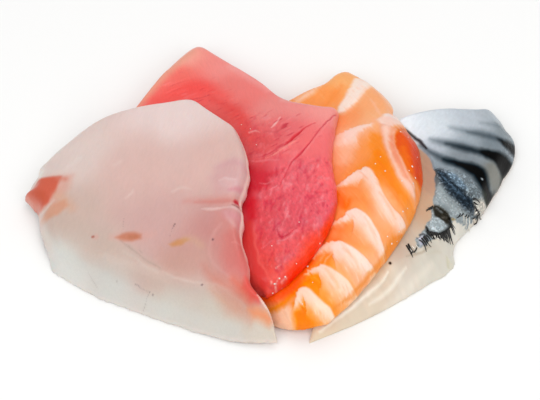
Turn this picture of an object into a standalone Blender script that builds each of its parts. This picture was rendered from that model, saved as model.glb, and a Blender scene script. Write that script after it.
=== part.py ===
"""Four slices of raw fish, fanned out so that each lies partly on the next: white fish on tuna,
tuna on salmon, salmon on mackerel. Their narrow ends meet at the front and all rest on the ground.

Units are metres, +Z is up, +Y is away from the front. The origin is under the middle of the fan.
Outlines and thicknesses are given in millimetres and scaled by MM.
"""
import bmesh
import bpy
import numpy as np
from mathutils import Vector
from mathutils.bvhtree import BVHTree

MM = 0.001

# driving dimensions, in millimetres
GAP = 0.5                # left between a slice and what it lies on, before it sinks
SETTLE_REACH = 1.6       # how far around a point a slice feels what is under it
SETTLE_PASSES = 26       # how stiffly a slice bridges a step in the pile
TOP_PASSES = 10          # how much a slice's thickness evens out its upper face
COLUMNS = 21             # faces across a slice
ROWS = 25                # faces along a slice
EDGE_CROWDING = 0.75     # share of the rows and columns that crowd towards the cut edges
LOOK_DOWN_FROM = 100.0   # height from which the pile is felt
CUT_CURVE = 1.5          # 1 cuts the edges straight, 2 rounds them fully
LEAST_THICKNESS = 0.6    # share of its thickness that a bent slice keeps everywhere
SHARP_ANGLE = 50.0       # degrees between faces that read as a cut edge

# Every slice has four sides. near and far run from left to right, left and right from near to far,
# and each side is a smooth curve through its points.
#   thickness     at the crest, at the near end and at the far end
#   crest         where the slice is thickest: share of the width at the near end, middle and far end
#   fall          share of the thickness left at the left edge and at the right edge
#   arch          how far its middle bows up between its two ends
#   edges         for each side, how far in the cut slants or rounds, and the share of the
#                 thickness that stands upright at the rim
SLICES = {
    "mackerel_slice": {
        "near": [(8.0, -35.8), (20.9, -29.4), (34.1, -20.6), (39.6, -16.2)],
        "far": [(24.5, 17.5), (30.6, 21.6), (38.9, 24.4), (52.2, 26.0)],
        "left": [(8.0, -35.8), (12.5, -18.0), (18.5, 0.0), (24.5, 17.5)],
        "right": [(39.6, -16.2), (40.6, -9.8), (45.3, -4.1), (49.5, 1.3), (53.8, 9.2), (55.6, 15.2),
                  (55.4, 20.4), (52.2, 26.0)],
        "thickness": (6.5, 9.6, 8.6),
        "crest": (0.62, 0.56, 0.22),
        "fall": (0.45, 0.55),
        "edges": {"near": (6.5, 0.10), "far": (1.6, 0.62), "left": (2.0, 0.6), "right": (4.0, 0.28)},
        "arch": 0.0,
        "colour": (0.62, 0.60, 0.55),
        "roughness": 0.25,
        "metallic": 0.1,
    },
    "salmon_slice": {
        "near": [(-4.0, -28.4), (1.6, -32.2), (6.2, -33.9), (12.0, -33.6)],
        "far": [(0.0, 25.5), (4.0, 28.6), (8.6, 31.6), (12.4, 33.4), (15.2, 36.8), (18.8, 39.0)],
        "left": [(-4.0, -28.4), (-1.0, -10.0), (0.5, 8.0), (0.0, 25.5)],
        "right": [(12.0, -33.6), (19.4, -26.6), (26.2, -17.6), (31.6, -7.6), (33.6, 3.0), (31.8, 11.0),
                  (28.2, 15.8), (27.8, 24.4), (23.8, 32.8), (18.8, 39.0)],
        "thickness": (4.5, 7.8, 6.4),
        "crest": (0.6, 0.65, 0.6),
        "fall": (0.85, 0.62),
        "edges": {"near": (3.0, 0.35), "far": (1.4, 0.65), "left": (1.5, 0.6), "right": (2.4, 0.36)},
        "arch": 1.2,
        "colour": (0.95, 0.36, 0.13),
        "roughness": 0.28,
        "metallic": 0.0,
    },
    "tuna_slice": {
        "near": [(-34.0, 21.0), (-25.0, 2.0), (-14.0, -13.5), (-8.6, -22.5), (-0.8, -28.2)],
        "far": [(-16.0, 45.4), (-8.0, 37.8), (-1.8, 30.6), (2.4, 24.2), (7.4, 21.8), (15.2, 19.4)],
        "left": [(-34.0, 21.0), (-31.2, 25.8), (-19.8, 43.6), (-16.0, 45.4)],
        "right": [(-0.8, -28.2), (5.4, -24.4), (11.8, -16.4), (14.4, -7.0), (13.4, 4.5), (15.2, 19.4)],
        "thickness": (6.4, 7.0, 5.8),
        "crest": (0.5, 0.5, 0.5),
        "fall": (0.95, 0.7),
        "edges": {"near": (1.4, 0.6), "far": (1.3, 0.6), "left": (1.3, 0.65), "right": (1.6, 0.5)},
        "arch": 1.8,
        "colour": (0.82, 0.10, 0.12),
        "roughness": 0.3,
        "metallic": 0.0,
    },
    "white_fish_slice": {
        "near": [(-47.8, -17.0), (-41.0, -21.8), (-33.0, -26.0), (-10.0, -35.0), (1.4, -36.4)],
        "far": [(-47.2, 14.0), (-38.0, 20.2), (-24.0, 21.2), (-17.4, 20.8), (-7.6, 12.0)],
        "left": [(-47.8, -17.0), (-50.6, -8.0), (-51.4, -4.0), (-54.9, 3.0), (-52.2, 6.8), (-51.4, 10.4),
                 (-47.2, 14.0)],
        "right": [(1.4, -36.4), (-0.4, -31.6), (-4.2, -25.0), (-6.2, -16.8), (-5.4, -12.0), (-6.7, -9.2),
                  (-4.8, -4.5), (-5.0, 3.5), (-7.6, 12.0)],
        "thickness": (8.6, 7.4, 6.0),
        "crest": (0.35, 0.45, 0.5),
        "fall": (0.62, 0.66),
        "edges": {"near": (8.0, 0.06), "far": (1.8, 0.5), "left": (3.0, 0.4), "right": (1.6, 0.5)},
        "arch": 1.5,
        "colour": (0.72, 0.56, 0.52),
        "roughness": 0.22,
        "metallic": 0.0,
    },
}


def clear_scene():
    for item in list(bpy.data.objects):
        bpy.data.objects.remove(item, do_unlink=True)


def curve_at(points, shares):
    """Positions on a Catmull-Rom curve through the points, at these shares of its length."""
    knots = np.array(points, dtype=float)
    knots = np.vstack([2 * knots[0] - knots[1], knots, 2 * knots[-1] - knots[-2]])
    steps = np.linspace(0.0, 1.0, 24, endpoint=False)[:, None]
    stretches = []
    for a, b, c, d in zip(knots[:-3], knots[1:-2], knots[2:-1], knots[3:]):
        stretches.append(0.5 * (2 * b + (c - a) * steps + (2 * a - 5 * b + 4 * c - d) * steps ** 2
                                + (3 * b - a - 3 * c + d) * steps ** 3))
    path = np.vstack(stretches + [knots[-2:-1]])
    travelled = np.concatenate([[0.0], np.cumsum(np.linalg.norm(np.diff(path, axis=0), axis=1))])
    wanted = np.asarray(shares) * travelled[-1]
    return np.stack([np.interp(wanted, travelled, path[:, k]) for k in (0, 1)], axis=-1)


def crowded(count):
    """Shares from 0 to 1 that lie closer together towards both ends."""
    even = np.linspace(0.0, 1.0, count + 1)
    return EDGE_CROWDING * (0.5 - 0.5 * np.cos(np.pi * even)) + (1.0 - EDGE_CROWDING) * even


def plan_of(slice_data, across, along):
    """Plan positions of the slice's grid: a patch stretched between its four sides."""
    u = across[None, :, None]
    v = along[:, None, None]
    near = curve_at(slice_data["near"], across)[None, :, :]
    far = curve_at(slice_data["far"], across)[None, :, :]
    left = curve_at(slice_data["left"], along)[:, None, :]
    right = curve_at(slice_data["right"], along)[:, None, :]
    corners = ((1 - u) * (1 - v) * near[:, :1] + u * (1 - v) * near[:, -1:]
               + (1 - u) * v * far[:, :1] + u * v * far[:, -1:])
    return (1 - v) * near + v * far + (1 - u) * left + u * right - corners


def rounding(distance, run, upright):
    """Share of the full thickness at this distance from a cut edge."""
    return upright + (1.0 - upright) * (1.0 - (1.0 - np.clip(distance / run, 0.0, 1.0)) ** CUT_CURVE)


def thickness_of(slice_data, plan, across, along):
    """Thickness over the slice's grid, from its crest, its falls and its four cut edges."""
    u = across[None, :]
    v = along[:, None]
    full = np.interp(v, (0.0, 0.5, 1.0), slice_data["thickness"])
    crest = np.interp(v, (0.0, 0.5, 1.0), slice_data["crest"])
    fall_left, fall_right = slice_data["fall"]
    off_crest = np.where(u < crest, (crest - u) / crest, (u - crest) / (1.0 - crest))
    fall = np.where(u < crest, 1.0 - fall_left, 1.0 - fall_right)
    body = full * (1.0 - fall * off_crest ** 2)
    width = np.linalg.norm(np.diff(plan, axis=1), axis=2).sum(axis=1)[:, None]
    length = np.linalg.norm(np.diff(plan, axis=0), axis=2).sum(axis=0)[None, :]
    edges = slice_data["edges"]
    body = body * rounding(u * width, *edges["left"]) * rounding((1 - u) * width, *edges["right"])
    return body * rounding(v * length, *edges["near"]) * rounding((1 - v) * length, *edges["far"])


def pile_under(plan, trees):
    """Height of the pile at each grid point, felt a little way around it; 0 is the ground."""
    turns = np.arange(8) * np.pi / 4
    ring = [(0.0, 0.0)] + [(SETTLE_REACH * np.cos(a), SETTLE_REACH * np.sin(a)) for a in turns]
    height = np.zeros(plan.shape[:2])
    for row, column in np.ndindex(height.shape):
        x, y = plan[row, column]
        for dx, dy in ring:
            start = Vector((x + dx, y + dy, LOOK_DOWN_FROM)) * MM
            for tree in trees:
                spot = tree.ray_cast(start, Vector((0.0, 0.0, -1.0)))[0]
                if spot is not None:
                    height[row, column] = max(height[row, column], spot.z / MM + GAP)
    return height


def evened(height):
    """Each grid height replaced by the mean of its four neighbours."""
    wide = np.pad(height, 1, mode="edge")
    return (wide[:-2, 1:-1] + wide[2:, 1:-1] + wide[1:-1, :-2] + wide[1:-1, 2:]) / 4.0


def settled(pile, arch, along):
    """The underside of a slice that lies over the pile without touching it, bowed by its arch."""
    pile = np.maximum(pile, arch * np.sin(np.pi * along)[:, None])
    rest = pile.copy()
    for _ in range(SETTLE_PASSES):
        rest = np.maximum(pile, evened(rest))
    return rest - rest.min()


def slab(name, plan, lower, upper, collection):
    """A closed solid between two height grids over the same plan."""
    rows, columns = lower.shape
    form = bmesh.new()
    bmesh.ops.create_grid(form, x_segments=columns - 1, y_segments=rows - 1, size=1.0)
    raised = bmesh.ops.extrude_face_region(form, geom=list(form.faces), use_keep_orig=True)["geom"]
    over = [item for item in raised if isinstance(item, bmesh.types.BMVert)]
    under = [vert for vert in form.verts if vert not in set(over)]
    spots = plan.reshape(-1, 2)
    for sheet, heights in ((under, lower), (over, upper)):
        sheet.sort(key=lambda vert: (round(vert.co.y, 5), round(vert.co.x, 5)))
        for vert, (x, y), height in zip(sheet, spots, heights.ravel()):
            vert.co = Vector((x, y, height)) * MM
    bmesh.ops.recalc_face_normals(form, faces=form.faces)
    mesh = bpy.data.meshes.new(name)
    form.to_mesh(mesh)
    form.free()
    mesh.shade_smooth()
    mesh.set_sharp_from_angle(angle=np.radians(SHARP_ANGLE))
    item = bpy.data.objects.new(name, mesh)
    collection.objects.link(item)
    return item


def surface_of(name, slice_data):
    """The slice's own material."""
    material = bpy.data.materials.new(name)
    material.use_nodes = True
    shader = material.node_tree.nodes["Principled BSDF"]
    shader.inputs["Base Color"].default_value = (*slice_data["colour"], 1.0)
    shader.inputs["Roughness"].default_value = slice_data["roughness"]
    shader.inputs["Metallic"].default_value = slice_data["metallic"]
    return material


def centre_on_origin(items):
    """Moves the whole fan so that the origin is under the middle of its box."""
    corners = np.array([vert.co for item in items for vert in item.data.vertices])
    low, high = corners.min(axis=0), corners.max(axis=0)
    shift = Vector((-(low[0] + high[0]) / 2, -(low[1] + high[1]) / 2, -low[2]))
    for item in items:
        for vert in item.data.vertices:
            vert.co += shift


def build_fan():
    clear_scene()
    collection = bpy.data.collections.new("sashimi_slices")
    bpy.context.scene.collection.children.link(collection)
    across = crowded(COLUMNS)
    along = crowded(ROWS)
    trees = []
    for name, slice_data in SLICES.items():
        plan = plan_of(slice_data, across, along)
        thickness = thickness_of(slice_data, plan, across, along)
        pile = pile_under(plan, trees)
        lower = settled(pile, slice_data["arch"], along)
        carried = lower
        for _ in range(TOP_PASSES):
            carried = evened(carried)
        upper = np.maximum(carried + thickness, lower + LEAST_THICKNESS * thickness)
        item = slab(name, plan, lower, upper, collection)
        item.data.materials.append(surface_of(name, slice_data))
        bpy.context.view_layer.update()
        trees.append(BVHTree.FromObject(item, bpy.context.evaluated_depsgraph_get()))
    centre_on_origin(list(collection.objects))


build_fan()
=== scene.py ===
import math
from itertools import product

import bmesh
import bpy
import numpy as np
from mathutils import Matrix, Vector
from mathutils.bvhtree import BVHTree
from mathutils.kdtree import KDTree


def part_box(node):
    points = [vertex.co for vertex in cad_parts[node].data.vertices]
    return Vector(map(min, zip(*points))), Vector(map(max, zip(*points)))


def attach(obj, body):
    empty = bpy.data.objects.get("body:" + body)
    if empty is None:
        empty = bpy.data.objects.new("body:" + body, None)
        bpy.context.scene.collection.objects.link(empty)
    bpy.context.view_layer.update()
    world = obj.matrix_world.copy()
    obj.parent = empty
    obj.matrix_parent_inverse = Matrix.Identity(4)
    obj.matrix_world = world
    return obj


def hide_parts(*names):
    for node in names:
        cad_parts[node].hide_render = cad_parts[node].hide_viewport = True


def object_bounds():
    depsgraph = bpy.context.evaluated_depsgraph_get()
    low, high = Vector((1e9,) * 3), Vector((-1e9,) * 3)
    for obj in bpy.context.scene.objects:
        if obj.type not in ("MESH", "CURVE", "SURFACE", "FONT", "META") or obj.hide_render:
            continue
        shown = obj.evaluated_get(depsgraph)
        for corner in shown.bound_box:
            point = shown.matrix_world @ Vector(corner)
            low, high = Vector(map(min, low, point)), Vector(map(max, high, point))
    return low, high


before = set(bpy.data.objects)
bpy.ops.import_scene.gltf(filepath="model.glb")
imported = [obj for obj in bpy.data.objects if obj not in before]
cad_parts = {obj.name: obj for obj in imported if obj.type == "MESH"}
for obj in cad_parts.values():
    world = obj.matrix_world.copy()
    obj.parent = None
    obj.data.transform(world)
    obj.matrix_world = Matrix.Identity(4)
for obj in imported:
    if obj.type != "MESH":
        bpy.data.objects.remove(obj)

# Four slices of raw fish lying in a fan. Sizes below are in millimetres.
mm = 0.001
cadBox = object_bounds()
fanMiddle = (cadBox[0] + cadBox[1]) / 2
searchHeight = 50.0   # well above every slice


# camera, lights and floor

studio = {
    "lens": 120.0,
    "sensorWidth": 36.0,
    "nearest": 10.0,   # anything closer to the camera isn't drawn
    "distance": 398.0,
    "elevation": 52.0,
    "aim": (-0.7, -5.5, -3.1),   # from the middle of the fan
    "worldStrength": 0.56,
    "lights": {   # azimuth, elevation, distance, size, power; azimuth 0 is the camera's side
        "leftFront": (-32.0, 50.0, 620.0, 480.0, 1.15),
        "rightFront": (38.0, 46.0, 620.0, 480.0, 0.92),
        "farTop": (165.0, 64.0, 640.0, 520.0, 0.85),
    },
    "floorTone": "f9f9f8",
    "floorRoughness": 0.9,
    "floorShine": 0.1,
    "floorSize": 4000.0,
}


def placed(name, data):
    item = bpy.data.objects.new(name, data)
    bpy.context.scene.collection.objects.link(item)
    return item


def aimAt(item, target):
    item.rotation_euler = (target - item.location).to_track_quat("-Z", "Y").to_euler()


def towards(azimuth, elevation):
    # the direction of a place around the fan; azimuth 0 is the camera's side, 90 is +X
    turn, rise = math.radians(azimuth), math.radians(elevation)
    return Vector((math.sin(turn) * math.cos(rise), -math.cos(turn) * math.cos(rise), math.sin(rise)))


def softLight(name, azimuth, elevation, distance, size, power):
    lamp = bpy.data.lights.new(name, "AREA")
    lamp.shape = "DISK"
    lamp.size = size * mm
    lamp.energy = power
    item = placed(name, lamp)
    item.location = fanMiddle + towards(azimuth, elevation) * distance * mm
    aimAt(item, fanMiddle)


def setUpStudio():
    scene = bpy.context.scene
    target = fanMiddle + Vector(studio["aim"]) * mm
    lensData = bpy.data.cameras.new("camera")
    lensData.lens = studio["lens"]
    lensData.sensor_width = studio["sensorWidth"]
    lensData.clip_start = studio["nearest"] * mm
    camera = placed("camera", lensData)
    camera.location = target + towards(0.0, studio["elevation"]) * studio["distance"] * mm
    aimAt(camera, target)
    scene.camera = camera
    scene.view_settings.view_transform = "Standard"

    world = bpy.data.worlds.new("studio")
    world.use_nodes = True
    sky = world.node_tree.nodes["Background"]
    sky.inputs["Color"].default_value = (1.0, 1.0, 1.0, 1.0)
    sky.inputs["Strength"].default_value = studio["worldStrength"]
    scene.world = world
    for name, place in studio["lights"].items():
        softLight(name, *place)


def makeFloor():
    bpy.ops.mesh.primitive_plane_add(size=studio["floorSize"] * mm)
    floor = bpy.context.object
    floor.name = "floor"
    material = bpy.data.materials.new("paleFloor")
    material.use_nodes = True
    shader = material.node_tree.nodes["Principled BSDF"]
    shader.inputs["Base Color"].default_value = (*linearOf(rgbOf(studio["floorTone"])), 1.0)
    shader.inputs["Roughness"].default_value = studio["floorRoughness"]
    shader.inputs["Specular IOR Level"].default_value = studio["floorShine"]
    floor.data.materials.append(material)


# colours and smooth random values

scramblers = (374761393, 668265263, 1440662683, 1274126177)   # large numbers that mix up a corner's place
wordMask = 0xFFFFFFFF
halfWord = 2147483648.0


def rgbOf(code):
    return np.array([int(code[i:i + 2], 16) for i in (0, 2, 4)]) / 255.0


def linearOf(rgb):
    rgb = np.clip(rgb, 0.0, 1.0)
    return np.where(rgb <= 0.04045, rgb / 12.92, ((rgb + 0.055) / 1.055) ** 2.4)


def ease(low, high, values):
    # 0 at low, 1 at high, smooth between; low may be the larger
    share = np.clip((values - low) / (high - low), 0.0, 1.0)
    return share * share * (3.0 - 2.0 * share)


def cornerValue(x, y, z, seed):
    # one random number from -1 to 1 for each whole-number corner
    mixed = (x * scramblers[0] + y * scramblers[1] + z * scramblers[2] + seed * scramblers[3]) & wordMask
    mixed = ((mixed ^ (mixed >> 13)) * scramblers[3]) & wordMask
    return (mixed ^ (mixed >> 16)) / halfWord - 1.0


def mottle(spots, patch, seed):
    # smooth random values from -1 to 1 in patches of this size, one size or one for each axis
    scaled = spots / np.asarray(patch, dtype=float)
    corner = np.floor(scaled).astype(np.int64)
    part = scaled - corner
    part = part * part * (3.0 - 2.0 * part)
    total = np.zeros(len(spots))
    for step in product((0, 1), repeat=3):
        share = np.where(step, part, 1 - part)
        total += share[:, 0] * share[:, 1] * share[:, 2] * cornerValue(*(corner + step).T, seed)
    return total


def wander(spots, patch, seed):
    # a smooth random step in X and Y for each point
    return np.stack([mottle(spots, patch, seed), mottle(spots, patch, seed + 1)], axis=1)


def turned(spots, degrees):
    # the same points with X and Y turned, so that patches can be long in any direction
    angle = math.radians(degrees)
    x = spots[:, 0] * math.cos(angle) + spots[:, 1] * math.sin(angle)
    y = -spots[:, 0] * math.sin(angle) + spots[:, 1] * math.cos(angle)
    return np.stack([x, y, spots[:, 2]], axis=1)


# strokes: soft lines and patches that colour a slice and raise or sink it

brush = {
    "farthest": 5.0,   # how far from a stroke its distance is still measured
    "pathStep": 0.35,
    "thinnest": 0.02,
    "fraying": (-0.5, 0.85),   # the way in X and Y that frayed ends of a stroke point
}


def smoothPath(points):
    # a smooth curve through the points; every number given with a point is eased along too
    knots = np.array(points, dtype=float)
    if len(knots) == 1:
        return knots
    knots = np.vstack([2 * knots[0] - knots[1], knots, 2 * knots[-1] - knots[-2]])
    path = []
    for a, b, c, d in zip(knots[:-3], knots[1:-2], knots[2:-1], knots[3:]):
        count = max(3, int(np.hypot(*(c - b)[:2]) / brush["pathStep"]))
        t = np.linspace(0.0, 1.0, count, endpoint=False)[:, None]
        path.append(0.5 * (2 * b + (c - a) * t + (2 * a - 5 * b + 4 * c - d) * t ** 2
                           + (3 * b - a - 3 * c + d) * t ** 3))
    path = np.vstack(path + [knots[-2:-1]])
    path[:, 2] = np.maximum(path[:, 2], brush["thinnest"])
    return path


def nearTo(plan, path, reach):
    # which points lie in the path's box, widened by this reach
    low, high = path[:, :2].min(axis=0) - reach, path[:, :2].max(axis=0) + reach
    return np.all((plan > low) & (plan < high), axis=1)


def outsideStroke(plan, points):
    # how far each point lies outside the stroke, negative inside it
    path = smoothPath(points)
    near = nearTo(plan, path, path[:, 2].max() + brush["farthest"])
    outside = np.full(len(plan), brush["farthest"])
    close = plan[near]
    best = np.full(len(close), brush["farthest"])
    for x, y, half in path:
        best = np.minimum(best, np.hypot(close[:, 0] - x, close[:, 1] - y) - half)
    outside[near] = best
    return outside


def insideOutline(plan, outline):
    # how far each point lies inside a closed outline, negative outside it
    corners = np.array(outline, dtype=float)
    near = nearTo(plan, corners, brush["farthest"])
    close = plan[near]
    inside = np.zeros(len(close), dtype=bool)
    nearest = np.full(len(close), 1e9)
    for a, b in zip(corners, np.roll(corners, -1, axis=0)):
        side = b - a
        share = np.clip(((close - a) @ side) / (side @ side), 0.0, 1.0)
        nearest = np.minimum(nearest, np.linalg.norm(close - a - share[:, None] * side, axis=1))
        crosses = (a[1] > close[:, 1]) != (b[1] > close[:, 1])
        rise = side[1] if side[1] else 1e-9
        inside ^= crosses & (close[:, 0] < a[0] + (close[:, 1] - a[1]) / rise * side[0])
    depth = np.full(len(plan), -brush["farthest"])
    depth[near] = np.where(inside, nearest, -nearest)
    return depth


def zoneShare(plan, zones):
    # how much each point belongs to the zones, 0 to 1; each zone is strength, softness, outline
    share = np.zeros(len(plan))
    for strength, softness, outline in zones:
        share = np.maximum(share, strength * ease(-softness, softness, insideOutline(plan, outline)))
    return share


def blended(plan, tones):
    # colours that run smoothly into each other; each tone is x, y, reach, colour
    total = np.zeros((len(plan), 3))
    weights = np.full(len(plan), 1e-12)
    for x, y, reach, code in tones:
        away = ((plan[:, 0] - x) ** 2 + (plan[:, 1] - y) ** 2) / reach ** 2
        weight = 1.0 / (1.0 + away) ** 2.5
        total += weight[:, None] * rgbOf(code)
        weights += weight
    return total / weights[:, None]


def driftingTones(surface, tones, drift, patch, seed):
    # blended tones whose borders drift to and fro
    return blended(surface["plan"] + drift * mottle(surface["spots"], patch, seed)[:, None], tones)


def mixTone(rgb, code, amount):
    rgb += (rgbOf(code) - rgb) * amount[:, None]


def applyStrokes(surface, rgb, strokes, wobble, seed, feather=0.0):
    # each stroke is colour, strength, softness, lift and its points x, y, half width;
    # a patch has an outline of x, y points instead
    warp = wander(surface["spots"], 2.2, seed) + 0.5 * wander(surface["spots"], 0.8, seed + 2)
    plan = surface["plan"] + wobble * warp + np.reshape(feather, (-1, 1)) * brush["fraying"]
    for code, strength, softness, lift, points in strokes:
        outside = outsideStroke(plan, points) if len(points[0]) == 3 else -insideOutline(plan, points)
        cover = ease(softness, -softness, outside)
        mixTone(rgb, code, cover * strength * surface["coloured"])
        surface["lift"] += cover * lift * surface["facesUp"]


def applyCrests(surface, rgb, crests, feather):
    # each crest is a band of fat, sharp along its ridge and fading to the right of it, with a pale core that
    # is partly a painted highlight:
    # edge tone, core tone, lift, then x, y and depth along the ridge
    warp = wander(surface["spots"], 2.4, 61)
    plan = surface["plan"] + 0.25 * warp + np.reshape(feather, (-1, 1)) * brush["fraying"]
    for edgeTone, coreTone, lift, ridge in crests:
        path = smoothPath(ridge)
        heading = np.gradient(path[:, :2], axis=0)
        heading /= np.linalg.norm(heading, axis=1)[:, None]
        near = nearTo(plan, path, path[:, 2].max() * 1.4)
        nearest = KDTree(len(path))
        for index, point in enumerate(path):
            nearest.insert((point[0], point[1], 0.0), index)
        nearest.balance()
        found = np.array([nearest.find((x, y, 0.0))[1] for x, y in plan[near]])
        away = plan[near] - path[found, :2]
        right = away[:, 0] * heading[found, 1] - away[:, 1] * heading[found, 0]
        depth = np.hypot(away[:, 0], away[:, 1]) / path[found, 2]
        cover = np.zeros(len(plan))
        cover[near] = ease(-0.25, 0.25, right) * ease(1.5, 0.5, depth)
        core = np.zeros(len(plan))
        core[near] = ease(0.0, 0.4, right) * ease(1.0, 0.3, depth)
        mixTone(rgb, edgeTone, cover * surface["coloured"])
        mixTone(rgb, coreTone, 0.9 * core * surface["coloured"])
        surface["lift"] += cover * lift * surface["facesUp"]


# a fine, closed surface over a slice's solid

surfacing = {
    "flatAngle": 30,    # degrees; flatter neighbours are joined into four-sided faces
    "cornerAngle": 50,   # degrees; how far a joined face's corners may be from square
    "sharpAngle": 50,   # degrees; sharper edges stay crisp
    "crispness": 0.9,
    "relaxing": 0.5,
    "relaxTimes": 3,
    "underBelow": -0.6,   # faces whose normals point further down than this are underneath
    "underThinned": 0.93,   # the share of them that is taken away, since nothing there shows
}


def fineSurface(node, name, grain):
    form = bmesh.new()
    form.from_mesh(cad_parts[node].data)
    bmesh.ops.remove_doubles(form, verts=form.verts, dist=0.001 * mm)
    flatAngle, cornerAngle = math.radians(surfacing["flatAngle"]), math.radians(surfacing["cornerAngle"])
    bmesh.ops.join_triangles(form, faces=form.faces, angle_face_threshold=flatAngle,
                             angle_shape_threshold=cornerAngle)
    crease = form.edges.layers.float.new("crease_edge")
    for edge in form.edges:
        if edge.calc_face_angle(0.0) > math.radians(surfacing["sharpAngle"]):
            edge[crease] = surfacing["crispness"]
    coarse = bpy.data.meshes.new(name + "Coarse")
    form.to_mesh(coarse)
    form.free()
    piece = placed(name, coarse)
    smooth = piece.modifiers.new("smooth", "SUBSURF")
    smooth.levels = smooth.render_levels = 2
    even = piece.modifiers.new("even", "REMESH")
    even.mode = "VOXEL"
    even.voxel_size = grain * mm
    relax = piece.modifiers.new("relax", "SMOOTH")
    relax.factor = surfacing["relaxing"]
    relax.iterations = surfacing["relaxTimes"]
    bakeModifiers(piece)
    thinUnderside(piece)
    bpy.data.meshes.remove(coarse)
    return piece


def bakeModifiers(piece):
    graph = bpy.context.evaluated_depsgraph_get()
    finished = bpy.data.meshes.new_from_object(piece.evaluated_get(graph))
    piece.modifiers.clear()
    piece.data = finished


def vectorsOf(items, name):
    # one row of three numbers for each vertex
    values = np.empty(len(items) * 3)
    items.foreach_get(name, values)
    return values.reshape(-1, 3)


def thinUnderside(piece):
    mesh = piece.data
    under = np.flatnonzero(vectorsOf(mesh.vertex_normals, "vector")[:, 2] < surfacing["underBelow"])
    group = piece.vertex_groups.new(name="underside")
    group.add(under.tolist(), 1.0, "REPLACE")
    thin = piece.modifiers.new("thin", "DECIMATE")
    thin.vertex_group = "underside"
    thin.ratio = 1.0 - surfacing["underThinned"] * len(under) / len(mesh.vertices)
    bakeModifiers(piece)
    piece.vertex_groups.clear()


def startSlice(name, node, look):
    # the slice's mesh, and its surface as arrays: spots and plan in mm from the middle of the slice's box,
    # and normals; each nudge is x, y, reach, and how far the edge there moves in X and Y
    piece = fineSurface(node, name, look["grain"])
    low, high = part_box(node)
    middle = np.array([(low[0] + high[0]) / 2, (low[1] + high[1]) / 2, 0.0])
    spots = (vectorsOf(piece.data.vertices, "co") - middle) / mm
    normals = vectorsOf(piece.data.vertex_normals, "vector")
    away = np.zeros((len(spots), 2))
    for x, y, reach, moveX, moveY in look["nudges"]:
        weight = np.exp(-((spots[:, 0] - x) ** 2 + (spots[:, 1] - y) ** 2) / reach ** 2)
        away += weight[:, None] * (moveX, moveY)
    spots[:, :2] += away
    facesUp = ease(-0.1, 0.35, normals[:, 2])
    coloured = ease(-0.7, -0.3, normals[:, 2])
    uneven = mottle(spots, (1.5, 1.5, 6.0), 91) + 0.6 * mottle(spots, (0.7, 0.7, 3.0), 92)
    lift = look["ragged"] * uneven * (1.0 - facesUp) * coloured
    return piece, {"spots": spots, "plan": spots[:, :2].copy(), "normals": normals, "middle": middle,
                   "facesUp": facesUp, "coloured": coloured, "lift": lift}


def edgeDistance(surface, limit):
    # how far each point is from the slice's cut side, seen from above, up to this limit
    side = np.flatnonzero((surface["facesUp"] < 0.3) & (surface["normals"][:, 2] > -0.3))
    nearest = KDTree(len(side))
    for index in side:
        nearest.insert((*surface["plan"][index], 0.0), int(index))
    nearest.balance()
    away = np.zeros(len(surface["plan"]))
    for index in np.flatnonzero(surface["facesUp"] >= 0.3):
        away[index] = min(limit, nearest.find((*surface["plan"][index], 0.0))[2])
    return away


def solidOf(piece):
    return BVHTree.FromObject(piece, bpy.context.evaluated_depsgraph_get())


def underneath(solid, spot):
    # the place on the slice's top straight under a spot, and the normal there
    return solid.ray_cast(spot + Vector((0.0, 0.0, searchHeight * mm)), Vector((0.0, 0.0, -1.0)))[:2]


def fillCreasesAndPaintGlow(surface, rgb, above, reach, rise, code, strength):
    # soft flesh and juice close the crease along the foot of each slice that lies on this one; the colour
    # laid along it is painted glow and shade, for the light bled from the flesh into the crease
    for upper in above:
        solid = solidOf(upper)
        share = np.zeros(len(rgb))
        for index in np.flatnonzero(surface["facesUp"] > 0.3):
            spot = Vector(surface["spots"][index] * mm + surface["middle"])
            distance = solid.find_nearest(spot, reach * mm)[3]
            if distance is not None:
                share[index] = (1.0 - distance / (reach * mm)) ** 2
        surface["lift"] += rise * share
        # painted glow and shade along the crease
        mixTone(rgb, code, strength * np.sqrt(share))


def writeSurface(piece, surface, rgb, extras, veil):
    mesh = piece.data
    moved = surface["spots"] + surface["normals"] * surface["lift"][:, None]
    mesh.vertices.foreach_set("co", (moved * mm + surface["middle"]).ravel())
    own = np.maximum(linearOf(rgb) - veil, 0.0)   # the wet shine adds the veil back
    tint = mesh.attributes.new("tint", "FLOAT_COLOR", "POINT")
    tint.data.foreach_set("color", np.hstack([own, np.ones((len(rgb), 1))]).ravel())
    for name, values in extras.items():
        layer = mesh.attributes.new(name, "FLOAT", "POINT")
        layer.data.foreach_set("value", values)
    mesh.polygons.foreach_set("use_smooth", np.ones(len(mesh.polygons), dtype=bool))
    mesh.update()


# finishes: small helpers that wire up a material's nodes

wetFlesh = {
    "coatRoughness": 0.12,
    "scatterRadius": (1.0, 0.45, 0.3),   # red light goes deepest
    "scatterScale": 1.6,
}


def newFinish(name, roughness, coat, scatter, shine=0.3):
    material = bpy.data.materials.new(name)
    material.use_nodes = True
    shader = material.node_tree.nodes["Principled BSDF"]
    shader.inputs["Roughness"].default_value = roughness
    shader.inputs["Coat Weight"].default_value = coat
    shader.inputs["Coat Roughness"].default_value = wetFlesh["coatRoughness"]
    shader.inputs["Specular IOR Level"].default_value = shine
    shader.inputs["Subsurface Weight"].default_value = scatter
    shader.inputs["Subsurface Radius"].default_value = wetFlesh["scatterRadius"]
    shader.inputs["Subsurface Scale"].default_value = wetFlesh["scatterScale"] * mm
    return material, material.node_tree, shader


def addNode(tree, kind, inputs, **settings):
    node = tree.nodes.new(kind)
    for key, value in settings.items():
        setattr(node, key, value)
    for key, value in inputs.items():
        if isinstance(value, bpy.types.NodeSocket):
            tree.links.new(value, node.inputs[key])
        else:
            node.inputs[key].default_value = value
    return node


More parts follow.
